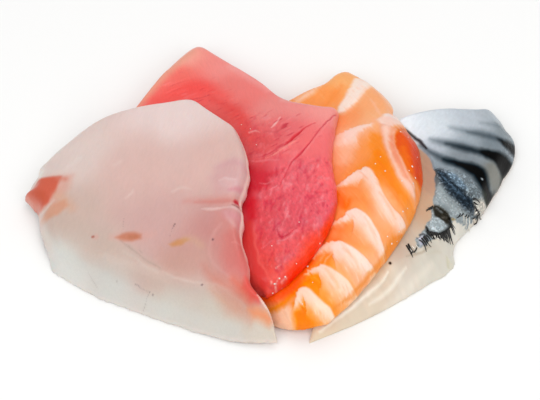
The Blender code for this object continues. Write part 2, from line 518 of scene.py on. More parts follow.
def attributeOf(tree, name, output="Fac"):
    return addNode(tree, "ShaderNodeAttribute", {}, attribute_name=name).outputs[output]


def placeOf(tree):
    return addNode(tree, "ShaderNodeTexCoord", {}).outputs["Object"]


def noiseOf(tree, scale, detail=3.0, stretch=(1.0, 1.0, 1.0), turn=0.0):
    # noise in object space; scale counts patches in a millimetre
    rotation = (0.0, 0.0, math.radians(turn))
    rotated = addNode(tree, "ShaderNodeMapping", {"Vector": placeOf(tree), "Rotation": rotation})
    drawn = addNode(tree, "ShaderNodeMapping", {"Vector": rotated.outputs["Vector"], "Scale": stretch})
    return addNode(tree, "ShaderNodeTexNoise", {"Vector": drawn.outputs["Vector"], "Scale": scale / mm,
                                                "Detail": detail}).outputs["Fac"]


def spread(tree, value, low, high, toLow, toHigh):
    return addNode(tree, "ShaderNodeMapRange", {"Value": value, "From Min": low, "From Max": high,
                                                "To Min": toLow, "To Max": toHigh}).outputs["Result"]


def timesOf(tree, a, b):
    return addNode(tree, "ShaderNodeMath", {0: a, 1: b}, operation="MULTIPLY").outputs["Value"]


def plusOf(tree, a, b):
    return addNode(tree, "ShaderNodeMath", {0: a, 1: b}, operation="ADD").outputs["Value"]


def paint(tree, shader, colour, factor):
    scaled = addNode(tree, "ShaderNodeVectorMath", {0: colour, "Scale": factor}, operation="SCALE")
    tree.links.new(scaled.outputs["Vector"], shader.inputs["Base Color"])


def raiseBumps(tree, shader, height, depth):
    bump = addNode(tree, "ShaderNodeBump", {"Height": height, "Distance": depth * mm})
    tree.links.new(bump.outputs["Normal"], shader.inputs["Normal"])


def fleshFinish(name, roughness, coat, scatter, fibreTurn, fibreDepth, coarseDepth=0.0, shine=0.3):
    material, tree, shader = newFinish(name, roughness, coat, scatter, shine)
    fibres = noiseOf(tree, 2.2, 4.0, (1.0, 0.22, 1.0), fibreTurn)
    grain = noiseOf(tree, 6.0, 3.0)
    shade = spread(tree, grain, 0.3, 0.7, -0.012, 0.012)
    tone = plusOf(tree, spread(tree, fibres, 0.3, 0.7, 0.975, 1.02), shade)
    height = plusOf(tree, fibres, timesOf(tree, grain, 0.35))
    if coarseDepth:   # short fibres where the flesh is torn and rough
        coarse = attributeOf(tree, "coarse")
        specks = noiseOf(tree, 1.7, 3.0, (1.0, 0.55, 1.0), fibreTurn)
        change = spread(tree, specks, 0.35, 0.65, -coarseDepth, coarseDepth)
        tone = plusOf(tree, tone, timesOf(tree, coarse, change))
        height = plusOf(tree, height, timesOf(tree, timesOf(tree, specks, coarse), 1.4))
    paint(tree, shader, attributeOf(tree, "tint", "Color"), tone)
    raiseBumps(tree, shader, height, fibreDepth)
    return material


def speckledFinish(name, code, patches, darkest, lightest, **finish):
    # one tone, darker and lighter in small patches
    material, tree, shader = newFinish(name, **finish)
    colour = tuple(float(part) for part in linearOf(rgbOf(code)))
    paint(tree, shader, colour, spread(tree, noiseOf(tree, patches, 2.0), 0.3, 0.7, darkest, lightest))
    return material


def dress(piece, material, node):
    piece.data.materials.clear()
    piece.data.materials.append(material)
    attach(piece, "root")
    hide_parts(node)


# white fish

whiteFish = {
    "grain": 0.24,   # size of the faces
    "ragged": 0.22,   # how uneven the cut edge is
    "wobble": 0.18,   # how far a stroke's edge strays
    "veil": 0.036,   # how much light the wet shine adds
    "nudges": [   # x, y, reach, move in X, move in Y
        (9.5, 28.4, 3, 0.3, 0.8), (-27.4, 9, 1.3, -0.7, 0.3), (-25.6, 4.6, 1.4, 0.4, 0.3),
        (-26.6, 10.6, 1.7, 0.9, -0.4), (-24.5, 16, 1.6, -0.6, 0.4), (-21.8, -6.5, 2.2, 0.4, 0.2),
        (24.2, -20.4, 2.4, -1.5, -0.1), (22.6, 6, 0.9, 0.25, 0), (22.4, 2.6, 0.8, -0.25, 0),
        (21.8, -6.4, 0.9, 0.3, 0), (21.8, -10.4, 0.8, -0.25, 0), (22.4, -14, 0.9, 0.25, 0),
    ],
    "drift": (1.2, 6.0, 3),   # how far the borders of the tones stray, over what length, and a seed
    # the tones are lighter at the far top, a painted highlight where the top faces the light, and greyer
    # towards the near side, painted shade
    "tones": [   # x, y, reach, colour
        (5, 24, 9, "ead5d1"), (-16, 15, 7, "e2cfc8"), (-2, 9, 9, "dcb9b1"), (14, 10, 7, "dcb7af"),
        (-16, 1, 6, "d0b7ac"), (1, -5, 8, "d3aba6"), (-7, -8, 6, "ceb7ac"), (14, -10, 6, "cd928d"),
        (7, -14, 5, "cba094"), (-19, -11, 5, "d9dbd5"), (-9, -17, 5, "d1d0ca"), (4, -23, 5, "d0cec4"),
        (15, -27, 5, "d2cabe"), (26, -30, 4, "d9cfc2"),
    ],
    "strokes": [   # colour, strength, softness, lift, then x, y, half width; a patch has an outline instead
        # the grey over the near side is painted shade, on the side turned away from the light
        ("cbb6aa", 0.6, 1.6, 0, [(-22, 1.5), (-17, 0), (-9, -6), (-1, -12), (6, -17.5), (3, -19),
            (-5.5, -14.6), (-13.5, -10.2), (-19, -5.6)]),
        ("d3d3cd", 0.55, 0.8, 0, [(-22.5, -2.6), (-19.5, -6.8), (-13.5, -11.4), (-5.5, -16), (3, -20.4),
            (11.5, -23.4), (20, -26.6), (24, -32), (4, -34), (-24, -20)]),
        ("dddfda", 0.6, 2, 0, [(-20.6, -7, 0.8), (-18.6, -10.6, 1.6), (-14, -14.6, 1.2)]),
        ("e4e0d8", 0.8, 0.9, 0.05, [(-24.6, 12, 0.7), (-25, 16.4, 0.9), (-23, 18.8, 0.8),
            (-20.6, 19.8, 0.4)]),
        ("d0a59a", 0.55, 2, 0, [(9.5, -10, 0.8), (11.5, -12.5, 1.6), (13.5, -16, 1.8), (15, -18, 1)]),
        ("d5918a", 0.75, 2.2, 0, [(15.5, -5), (19, -5.5), (22, -6.5), (21.6, -12), (23, -18), (25, -24),
            (21, -22.6), (16.6, -18.6), (14.6, -14.6), (14.8, -9.6)]),
        ("d67f79", 0.8, 1.6, 0, [(17, -10.4), (18.8, -8.8), (22, -7.6), (21.6, -12), (23, -17), (24.4, -21),
            (25.4, -24), (22.6, -23), (19.4, -20.6), (17.4, -18.4), (16.6, -15)]),
        ("d9706b", 0.7, 1.4, 0, [(19.8, -11.5), (21.2, -10.5), (21.6, -14.5), (23, -18), (24, -21.4),
            (21.4, -20.6), (20.2, -18.6), (19.4, -15.5)]),
        ("cf8b7e", 0.75, 1.6, 0, [(12.5, -16), (14.6, -17.6), (17.6, -20), (20.4, -22), (22.6, -23.8),
            (19.6, -23.6), (16.6, -21.6), (13.4, -19)]),
        ("d48878", 0.7, 1.8, 0, [(15, -19.4, 0.4), (17.6, -20.6, 1.2), (20, -22, 1.6), (22.6, -24.2, 1)]),
        ("e0705c", 0.7, 1, 0, [(18.6, -19.6, 0.4), (20.8, -21.6, 0.8), (22.6, -23.4, 0.6)]),
        ("e25a52", 0.9, 0.8, 0, [(21.2, -19.8), (23.6, -20.6), (25, -23), (24.2, -23.9), (22.4, -23.3),
            (20.8, -21.6)]),
        ("d4a08c", 0.75, 1.4, 0, [(13.6, -20.6), (17, -22), (20, -23.4), (22.8, -24.4), (22.5, -26.2),
            (17.5, -24.6)]),
        ("ee9468", 0.85, 0.9, 0, [(22, -24.6), (24, -24.4), (25.8, -24.9), (27.4, -25.8), (26.4, -26.8),
            (23, -25.8)]),
        ("f6e3d6", 0.9, 0.25, 0.12, [(24, -22.6, 0.15), (25.2, -23.8, 0.25), (26.6, -25, 0.25),
            (27.4, -26.4, 0.1)]),
        ("d29ba0", 0.4, 1.6, 0, [(13.5, 4.5), (16, 8), (18.6, 9.4), (22.5, 8), (22.5, 2), (19, -0.5),
            (14.5, 0)]),
        ("c98e9c", 0.24, 1, 0, [(14.8, 7.2, 0.5), (17.4, 8.4, 0.7), (19.6, 8.2, 0.6), (21.6, 6.2, 0.5)]),
        ("e0bbbb", 0.4, 0.7, 0.08, [(15.4, 2.6), (17, 4.2), (19.4, 3.8), (19.8, 1.8), (17.6, 0.9)]),
        ("e7cfcf", 0.5, 0.4, 0.05, [(15.6, 3.4, 0.15), (17.2, 4, 0.3), (18.8, 3.4, 0.15)]),
        ("cf7f8c", 0.5, 0.7, 0, [(17.8, 0.9, 0.3), (19.6, 1.1, 0.6), (21.4, 1.3, 0.5)]),
        ("d58d84", 0.45, 1.2, 0, [(8, -0.6, 0.3), (12, -1.2, 0.7), (16, -1.6, 1), (20.4, -1.8, 0.9)]),
        ("cf7a72", 0.5, 0.6, -0.1, [(10.5, -1.3, 0.1), (13.5, -1.7, 0.3), (17.4, -2, 0.45),
            (20, -2.1, 0.45)]),
        ("c22f3c", 0.95, 0.35, -0.12, [(19.2, -2.1, 0.5), (19.8, -2.2, 0.35)]),
        ("ecd6d2", 0.55, 0.35, 0.12, [(12, -3.2, 0.1), (13.4, -3.6, 0.3), (15, -3.8, 0.35),
            (17, -3.6, 0.15), (19.2, -3.8, 0.2), (21, -4.8, 0.3), (21.6, -6, 0.2)]),
        # the dark line sunk into the crease is painted shade in its groove
        ("8d4a4b", 0.85, 0.22, -0.3, [(18.4, -2.95, 0.06), (19.4, -3.1, 0.16), (21, -3.3, 0.25)]),
        ("d8929c", 0.55, 1.3, 0, [(17.4, -5.2, 0.8), (20, -6.4, 1.2), (20.4, -8.2, 0.8)]),
        ("e2bcbb", 0.4, 0.6, 0.05, [(17, -5, 0.2), (17.8, -6.6, 0.4), (19, -8.4, 0.3)]),
        ("e2bab4", 0.3, 0.6, 0.1, [(16.2, -7.6, 0.1), (14.8, -9.4, 0.35), (13.8, -11.6, 0.3),
            (13.6, -13.6, 0.2), (14.4, -15.6, 0.1), (16.2, -17.6, 0.05), (18.2, -19.4, 0.02)]),
        ("ecc0b6", 0.7, 0.3, 0.1, [(20.2, -9.4, 0.2), (20.8, -10.6, 0.3)]),
        ("e6a29b", 0.55, 0.3, 0.06, [(18.6, -12.4, 0.1), (20.6, -12.8, 0.2)]),
        ("dbaaa0", 0.55, 1.1, 0, [(-7.4, -7, 0.6), (-3, -7.5, 1.5), (1.2, -7.4, 0.8)]),
        ("c9836a", 0.9, 0.6, 0, [(-6.6, -7.2), (-5.2, -6.4), (-2.6, -6.2), (-1, -7), (-1.2, -8.2),
            (-3, -8.6), (-5, -8.2)]),
        ("bf7a5e", 0.6, 0.5, 0, [(-3.6, -7.4, 0.4), (-2.2, -7.5, 0.4)]),
        ("cf9568", 0.9, 0.5, 0, [(5, -10.2), (6.6, -9.3), (8.6, -9.4), (9.4, -9.9), (7.6, -10.8),
            (5.6, -10.9)]),
        ("d8b190", 0.4, 0.9, 0, [(8.4, -9.6, 0.6), (10.4, -10.2, 0.5), (12, -12, 0.3)]),
        ("dba79c", 0.6, 0.7, 0, [(-11, -6.8, 0.5)]),
        ("a85c50", 0.85, 0.25, -0.05, [(-11.7, -6.6, 0.26)]),
        ("dba596", 0.7, 1.3, 0, [(-28.5, 9.5), (-26, 10.6), (-22, 11.4), (-17, 10.4), (-17.5, 7),
            (-20.5, 3.6), (-24, 3)]),
        ("d36b57", 1, 0.55, 0.06, [(-28.6, 9), (-26.6, 9.6), (-25.2, 11.2), (-22.4, 11.2), (-19.6, 10.7),
            (-20.2, 8.6), (-20.8, 6.6), (-22.2, 4.6), (-24, 3.4), (-26.4, 4.6)]),
        ("d6816f", 0.75, 0.9, 0, [(-20.2, 10.3, 0.5), (-18.6, 9.6, 0.4)]),
        ("c96049", 0.65, 0.9, 0, [(-25.6, 7.6, 1), (-24, 6.2, 1.2), (-23.6, 5, 0.6)]),
        ("e2c9ad", 0.8, 0.35, 0, [(-28.4, 7.6, 0.15), (-26.4, 4.8, 0.25), (-24.6, 3, 0.2)]),
        ("d9ae97", 0.6, 1.2, 0, [(-20.4, 6, 0.8), (-18.6, 4.4, 1.2), (-16.6, 1.6, 1)]),
        ("d89a7e", 0.75, 0.8, 0, [(-24.4, 1.4), (-22.6, 2.4), (-21, 3.9), (-18.2, 4.4), (-17.6, 2.6),
            (-19.6, 0.6), (-22.4, -0.2)]),
        ("e7e0d4", 0.35, 0.35, -0.06, [(-25, 3.6, 0.25), (-23, 2.9, 0.3), (-21.8, 3.8, 0.3),
            (-20.8, 4.8, 0.15)]),
        ("d3cdc0", 0.6, 1, 0, [(-23.6, -1.2, 0.5), (-22.4, -3, 0.6), (-21.4, -5, 0.3)]),
        ("e9dad3", 0.55, 0.8, 0, [(-18.4, 13.2, 0.4), (-15.8, 15.4, 0.7)]),
        ("e5cdc6", 0.55, 0.6, 0, [(-8, 11.2, 0.3), (-6.6, 11.9, 0.4)]),
        ("e6d3cc", 0.6, 0.4, 0.04, [(-4.8, 2.2, 0.15), (-3.6, 3.2, 0.25), (-3.2, 4, 0.1)]),
        ("e3cac3", 0.5, 0.5, 0.04, [(5.5, 2.2, 0.3), (7.4, 2.8, 0.3), (9.4, 2.2, 0.15)]),
        ("b0998d", 0.6, 0.3, -0.06, [(-5.6, -8.2, 0.05), (-4, -9.6, 0.16), (-0.5, -12.6, 0.12),
            (3, -15.2, 0.1)]),
        ("d9c8bc", 0.5, 0.5, 0.05, [(-4.6, -10.6, 0.1), (-0.8, -13.6, 0.25), (2.6, -16, 0.15)]),
        ("e0cfc4", 0.55, 0.4, 0.1, [(3.8, -15.9, 0.02), (6.4, -17.4, 0.12), (9.4, -18.6, 0.12),
            (12, -19.3, 0.02)]),
        ("d3b4a6", 0.5, 0.6, 0.06, [(12.6, -19.4, 0.1), (15.4, -20.4, 0.25), (18.4, -22.2, 0.25),
            (21.4, -24.2, 0.1)]),
        ("62484e", 0.85, 0.18, 0, [(14.5, -11, 0.2)]),
        ("6f565a", 0.8, 0.14, 0, [(12.1, -19.6, 0.16)]),
        ("7a6a6a", 0.6, 0.15, 0, [(1.6, -19.2, 0.16)]),
        ("5f4a4e", 0.75, 0.15, 0, [(6.1, -5.8, 0.16), (5.6, -7, 0.03), (5.1, -8.6, 0.03)]),
        ("8a7472", 0.55, 0.15, 0, [(-5, -2.8, 0.06), (-5, -4.8, 0.04)]),
        ("8a7c78", 0.5, 0.15, 0, [(-12.6, -13, 0.02), (-10.8, -15.2, 0.05)]),
        ("7a6c6a", 0.55, 0.15, 0, [(-2.2, -17, 0.1), (-0.2, -18, 0.03), (1, -18.6, 0.05)]),
        ("7a6c6a", 0.55, 0.15, 0, [(1, -18.6, 0.05), (-0.6, -20.6, 0.05), (-1.6, -22.4, 0.02)]),
        ("8f817c", 0.45, 0.2, 0, [(-6.2, -15.6, 0.12)]),
        ("8f817c", 0.45, 0.2, 0, [(-1.4, -10.6, 0.08), (-0.9, -11.4, 0.06)]),
    ],
    "edgeTone": "efe0da",
    "edgeShare": 0.35,
    # the colour of a painted highlight along the far edge of the top
    "rimHighlightTone": "fdf0e2",
    "rimHighlightWidth": (0.8, 0.3),   # where the painted highlight on the far edge ends, and where it is full
    "unevenness": 0.05,
    "finish": {"roughness": 0.32, "coat": 0.15, "scatter": 0.25, "fibreTurn": 20.0, "fibreDepth": 0.05},
}


def makeWhiteFish():
    look = whiteFish
    piece, surface = startSlice("whiteFish", "white_fish_slice", look)
    spots, facesUp = surface["spots"], surface["facesUp"]
    rgb = driftingTones(surface, look["tones"], *look["drift"])
    rgb *= (1.0 + 0.012 * mottle(spots, (3.0, 7.0, 3.0), 5))[:, None]
    applyStrokes(surface, rgb, look["strokes"], look["wobble"], 11)
    mixTone(rgb, look["edgeTone"], look["edgeShare"] * ease(0.62, 0.35, surface["normals"][:, 2]))
    # painted highlight: the far edge of the top is made paler where light catches it
    farSide = ease(-6.0, 6.0, surface["plan"] @ (0.6, 0.8))
    rim = ease(*look["rimHighlightWidth"], edgeDistance(surface, 1.0)) * facesUp * farSide
    mixTone(rgb, look["rimHighlightTone"], rim * (0.75 + 0.25 * mottle(spots, (2.0, 2.0, 2.0), 13)))
    surface["lift"] += look["unevenness"] * mottle(spots, (3.0, 6.0, 4.0), 21) * facesUp
    writeSurface(piece, surface, rgb, {}, look["veil"])
    dress(piece, fleshFinish("whiteFishFlesh", **look["finish"]), "white_fish_slice")
    return piece


# tuna

tuna = {
    "grain": 0.212,
    "ragged": 0.16,
    "wobble": 0.2,
    "veil": 0.036,
    "nudges": [
        (23.6, 9.6, 1.6, 0.2, 0.5),
    ],
    "drift": (0.8, 4.0, 31),
    # the paler pink tones on the far upper part are a painted highlight, where that part faces the light
    "tones": [
        (-12, 30.5, 4, "fab0a0"), (-11, 25, 4, "f8766c"), (-1, 26.5, 5, "f79790"), (-1, 21, 4, "ed807a"),
        (-7.5, 20, 4.5, "f45e5b"), (5, 17.5, 5, "f2847f"), (10, 12.5, 4, "ec918c"), (15, 11, 4, "f09490"),
        (21, 10, 4, "f79f98"), (0.5, 11, 4, "e65e5a"), (6, 2, 4, "de585a"), (12, 4, 4, "e87073"),
        (18, -1, 5, "f67879"), (5, -9, 3, "d2424a"), (15, -11, 5, "ea6771"), (22, -12, 4.5, "fb6c70"),
        (17, -19, 5, "ea616d"), (12, -22, 5, "e05e68"), (12.5, -28.5, 4, "ec666a"), (7, -20, 4, "e2585f"),
        (5, -26, 4, "e1494a"), (8, -30.5, 3.5, "e65450"), (10, -35, 3, "ec5a52"), (19, -29, 3, "fa4a30"),
    ],
    "strokes": [
        ("f0a790", 0.9, 1.4, 0, [(-22, 15.5, 0.8), (-19.6, 19.2, 1.4), (-16.6, 24, 1.6), (-13.4, 29, 1.8),
            (-10.5, 33.5, 1.8)]),
        ("f6cdbe", 0.8, 0.7, 0, [(-19.4, 21.8, 0.3), (-16.6, 26, 0.5), (-13.2, 31, 0.7),
            (-10.5, 34.5, 0.8)]),
        ("e9a79c", 0.6, 0.6, 0, [(-9, 35.5, 0.5), (-6.5, 35, 0.5)]),
        ("f85550", 0.6, 2.4, 0, [(-16.5, 17, 0.8), (-12.5, 18.8, 1.6), (-8.5, 21, 1.8), (-4.5, 20.2, 1.4),
            (-1, 17, 1)]),
        ("e8524f", 0.6, 1.3, 0, [(-4, 17, 0.8), (0.5, 13, 1.2), (3, 8, 1.3), (4.5, 2, 1.1)]),
        # pale pink along the upper right edge: a painted highlight
        ("f8aba7", 0.6, 1, 0, [(0, 28, 0.8), (5, 22.6, 0.8), (9, 17.6, 0.8)]),
        ("ecb0aa", 0.65, 0.9, 0, [(12, 13.6, 0.5), (17, 12.6, 0.8), (22, 11.4, 0.6)]),
        ("fa9492", 0.7, 0.4, 0.05, [(24.6, 8, 0.2), (24.2, 3, 0.4), (23.6, -2, 0.2)]),
        ("f9c6bf", 0.85, 0.22, 0.06, [(11.3, 7.8, 0.12), (10.4, 6.2, 0.25), (9.6, 5, 0.12)]),
        ("f7a8a4", 0.8, 0.25, 0.08, [(4.6, 4.4, 0.25), (5.8, 4.8, 0.25), (6.8, 4.2, 0.1)]),
        ("cf5a5e", 0.55, 0.4, -0.06, [(8, 4, 0.2), (10.4, 3.6, 0.35), (12, 4.4, 0.1)]),
        # the dark red lines sunk along the creases are painted shade in their grooves, and the pale lines
        # raised beside them painted highlights
        ("f98f8f", 0.55, 0.35, 0.1, [(23.4, 7.2, 0.15), (21.2, 3.4, 0.2), (18.6, -0.6, 0.2),
            (16.2, -4.4, 0.15)]),
        ("c42f42", 0.95, 0.18, -0.22, [(24, 9, 0.08), (22.2, 6, 0.14), (20.4, 3.4, 0.12)]),
        ("d83848", 0.95, 0.2, -0.2, [(20.4, 3.4, 0.12), (18, -0.8, 0.2), (15.8, -4, 0.28), (14, -6.4, 0.2),
            (12.8, -8.8, 0.12), (11.4, -12, 0.08)]),
        ("d5303c", 0.95, 0.25, -0.18, [(19.2, 5.2, 0.06), (17, 4, 0.16), (15.4, 2.2, 0.36),
            (13.6, 0.2, 0.34), (12.4, -1, 0.12)]),
        ("cf3d4a", 0.8, 0.2, -0.12, [(12.6, -0.8, 0.12), (10, -2.4, 0.2), (7.6, -3.4, 0.2),
            (6.2, -3.4, 0.06)]),
        ("fb9d92", 0.75, 0.22, 0.12, [(15.6, 0.6, 0.1), (13.8, -0.8, 0.22), (12, -2.2, 0.2),
            (10, -3.6, 0.2), (8.4, -4.2, 0.1)]),
        ("c8484e", 0.7, 0.15, -0.05, [(-7.4, 17, 0.1), (-5.4, 17.8, 0.12), (-4, 18.2, 0.04)]),
        ("d63a46", 0.8, 0.9, -0.08, [(3.4, -7), (5, -5.6), (6.2, -7.4), (8.8, -8.2), (11.8, -7.8),
            (10.4, -9.2), (8.4, -9.8), (9, -11.6), (7, -12.8), (5.4, -11.8), (4.4, -13.4)]),
        ("f2939a", 0.5, 0.25, 0.05, [(4.6, -3.9, 0.1), (6.2, -4.6, 0.2), (8.8, -4.8, 0.2),
            (11.2, -5.2, 0.1)]),
        ("f59aa0", 0.45, 0.2, 0.05, [(7, -10.6, 0.12), (8.4, -11.2, 0.25), (10, -10.8, 0.1)]),
        ("d6303a", 0.8, 1.1, -0.05, [(3.4, -16), (5, -13.5), (6.2, -15), (6.4, -19.5), (4.4, -20.5)]),
        ("e04a48", 0.85, 0.5, 0, [(4.6, -20.5, 0.8), (4.8, -26, 0.9), (6.2, -31.5, 0.9), (8, -35, 0.8)]),
        ("ef6e66", 0.7, 0.3, 0.06, [(5.8, -21, 0.1), (6, -26, 0.22), (7.2, -31, 0.22), (8.6, -34, 0.1)]),
        ("c0293c", 0.85, 0.2, -0.14, [(10.8, -23.8, 0.1), (11.3, -25.4, 0.2), (12.6, -25.6, 0.12),
            (14.8, -24.2, 0.05)]),
        ("f4939a", 0.75, 0.2, 0.08, [(10.8, -26.4, 0.12), (12.6, -26.4, 0.2), (14.4, -25.4, 0.1)]),
        ("cf3f50", 0.6, 0.22, -0.08, [(15.2, -9.4, 0.1), (15, -11.4, 0.2), (15.3, -13, 0.05)]),
        ("cf3f50", 0.55, 0.22, -0.08, [(15.6, -21, 0.1), (15.4, -22.6, 0.18)]),
        ("cf3f50", 0.55, 0.22, -0.08, [(20.2, -11.4, 0.05), (19, -13, 0.12)]),
        ("cf3f50", 0.55, 0.22, -0.08, [(13.5, -18, 0.05), (13.4, -20.4, 0.14)]),
        ("d8404e", 0.5, 0.3, -0.08, [(23.8, -14.4, 0.1), (21, -15.6, 0.2), (18, -15.2, 0.1)]),
        ("f79ba2", 0.7, 0.18, 0.1, [(9.2, -13, 0.12), (10.6, -12.4, 0.2)]),
        ("f79ba2", 0.7, 0.18, 0.1, [(13, -19.6, 0.14), (12.4, -21.6, 0.1)]),
        ("f79ba2", 0.7, 0.18, 0.1, [(19, -18.6, 0.12), (21, -18, 0.12)]),
        ("f3818a", 0.65, 0.25, 0.08, [(7.4, -27.6, 0.1), (9.6, -26.2, 0.16)]),
        ("e6545a", 0.6, 0.4, 0, [(24.6, -9, 0.2), (24.4, -15, 0.3)]),
        # vivid red-orange along the lower right edge and the tip: a painted glow of light through the thin
        # edge where it lies on the salmon
        ("fb5137", 0.85, 0.5, 0, [(24, -17, 0.2), (22.6, -21.4, 0.6), (20.6, -25.4, 0.7)]),
        ("fb4a30", 0.85, 1.2, 0, [(24, -20.4, 0.5), (21.6, -24.6, 0.9), (19.2, -28.2, 1.1),
            (16.4, -31, 1.2), (13.4, -33.2, 1.1)]),
        ("fd3416", 0.8, 0.7, 0, [(22.4, -24.4, 0.3), (19.6, -28.6, 0.5), (16.6, -31.8, 0.5),
            (13.6, -34.2, 0.5)]),
        ("f93002", 0.95, 0.5, 0, [(7.6, -37.6, 0.8), (10.4, -37.4, 1), (13, -35.8, 1), (16, -33.6, 0.9),
            (19, -31, 0.6)]),
        ("f7a59a", 0.8, 0.16, 0.12, [(9.5, -35.2, 0.2)]),
        ("f9b9ae", 0.85, 0.16, 0.14, [(10.4, -35.8, 0.2), (10.8, -34.6, 0.1)]),
        ("f7a59a", 0.8, 0.16, 0.12, [(11.6, -35, 0.18), (12.2, -34.4, 0.08)]),
        ("f9b9ae", 0.8, 0.16, 0.12, [(10.1, -36.6, 0.22)]),
        ("f7a59a", 0.75, 0.16, 0.1, [(12.6, -34.2, 0.16)]),
        ("f9b9ae", 0.75, 0.16, 0.1, [(10.4, -32.8, 0.18), (11.4, -32.2, 0.1)]),
    ],
    "fibreZones": [   # strength, softness, outline
        (1, 1.4, [(5.8, -15.5), (6.6, -11.5), (9, -8), (12.5, -6), (16, -5), (19.5, -5.5), (24.5, -6.5),
            (25.2, -17), (23.6, -22.5), (21, -26.4), (18, -29.8), (14.5, -32.2), (10.2, -34.2),
            (7.6, -31.5), (6.4, -23.5)]),
        (0.5, 1.8, [(2.5, 13), (7.5, 9.5), (11, 5.5), (13.5, 1), (17, -4), (11.5, -6), (7.5, -6),
            (3.5, -4.5), (3, 4)]),
        (0.7, 0.8, [(8.6, -34), (12, -33.6), (14, -34.6), (11, -37.2), (8.6, -37)]),
    ],
    "scoredZones": [   # where the knife has left slanting marks: strength, softness, outline
        (1, 2, [(-1.5, 15), (5, 11), (11.5, 9.5), (18, 7), (17.5, 3), (14, -3), (9, -5), (4, -5), (3.6, 2),
            (0.5, 9)]),
        (0.7, 2.4, [(-20, 17), (-15.5, 22.5), (-10.5, 25.5), (-5, 24), (-1, 20.5), (2.5, 15), (-2, 12),
            (-8, 16)]),
        (0.25, 2, [(18, 7), (23.5, 7), (24.5, -5), (18, -3)]),
    ],
    "dashTone": "c93149",
    "dashShare": 0.42,
    "nubTone": "f8a0a6",
    "nubShare": 0.42,
    "nubShareScored": 0.4,
    "greyTone": "dd7480",
    "greyShare": 0.5,
    "scoreTone": "c93f4c",
    "scoreShare": 0.8,
    "sideTone": "e8827c",
    "sideShare": 0.7,
    "bumpSizes": ((0.85, 1.7, 1.4), (0.5, 0.9, 0.8)),   # across the fibres, along them, and in depth
    "bumpDepth": 0.13,
    "gritSize": (0.32, 0.55, 0.5),
    "gritDepth": 0.03,
    "patchSize": (1.8, 2.8, 2.4),
    "scoreSizes": ((0.55, 2.2, 1.2), (0.4, 1.0, 0.7)),
    "scoreDepth": 0.12,
    "scoreTurn": -60.0,
    "crease": (1.2, 0.5, "d8343a", 0.3),   # reach, rise, colour of the painted red glow and shade along the crease, strength
    "finish": {"roughness": 0.34, "coat": 0.12, "scatter": 0.2, "fibreTurn": -14.0, "fibreDepth": 0.06,
               "coarseDepth": 0.09},
}


def makeTuna(above):
    look = tuna
    piece, surface = startSlice("tuna", "tuna_slice", look)
    plan, spots, facesUp = surface["plan"], surface["spots"], surface["facesUp"]
    rgb = driftingTones(surface, look["tones"], *look["drift"])

    coarse = zoneShare(plan, look["fibreZones"]) * facesUp
    along = turned(spots, look["finish"]["fibreTurn"])
    bumps = mottle(along, look["bumpSizes"][0], 33) + 0.6 * mottle(along, look["bumpSizes"][1], 38)
    grit = mottle(along, look["gritSize"], 34)
    patches = mottle(spots, look["patchSize"], 36)
    mixTone(rgb, look["greyTone"], look["greyShare"] * coarse * ease(0.1, 0.9, patches))
    dashes = ease(0.2, 1.0, bumps + 0.3 * grit + 0.4 * patches)
    mixTone(rgb, look["dashTone"], look["dashShare"] * coarse * dashes)
    mixTone(rgb, look["nubTone"], look["nubShare"] * coarse * ease(-0.25, -1.1, bumps + 0.3 * grit))
    surface["lift"] -= coarse * (look["bumpDepth"] * bumps + look["gritDepth"] * grit)

    scored = zoneShare(plan, look["scoredZones"]) * (facesUp * (1 - 0.7 * coarse))
    across = turned(spots, look["scoreTurn"])
    marks = mottle(across, look["scoreSizes"][0], 35) + 0.5 * mottle(across, look["scoreSizes"][1], 39)
    marks *= 0.7 + 0.5 * mottle(spots, (1.8, 1.8, 1.8), 41)
    mixTone(rgb, look["scoreTone"], look["scoreShare"] * scored * ease(0.25, 0.8, marks))
    mixTone(rgb, look["nubTone"], look["nubShareScored"] * scored * ease(-0.3, -0.85, marks))
    surface["lift"] -= look["scoreDepth"] * scored * marks

    applyStrokes(surface, rgb, look["strokes"], look["wobble"], 37)
    farSide = (1.0 - facesUp) * ease(6.0, 14.0, plan[:, 1])
    mixTone(rgb, look["sideTone"], look["sideShare"] * farSide)
    fillCreasesAndPaintGlow(surface, rgb, above, *look["crease"])
    writeSurface(piece, surface, rgb, {"coarse": coarse}, look["veil"])
    dress(piece, fleshFinish("tunaFlesh", **look["finish"]), "tuna_slice")
    return piece


# salmon: orange blocks between slanting bands of pale fat

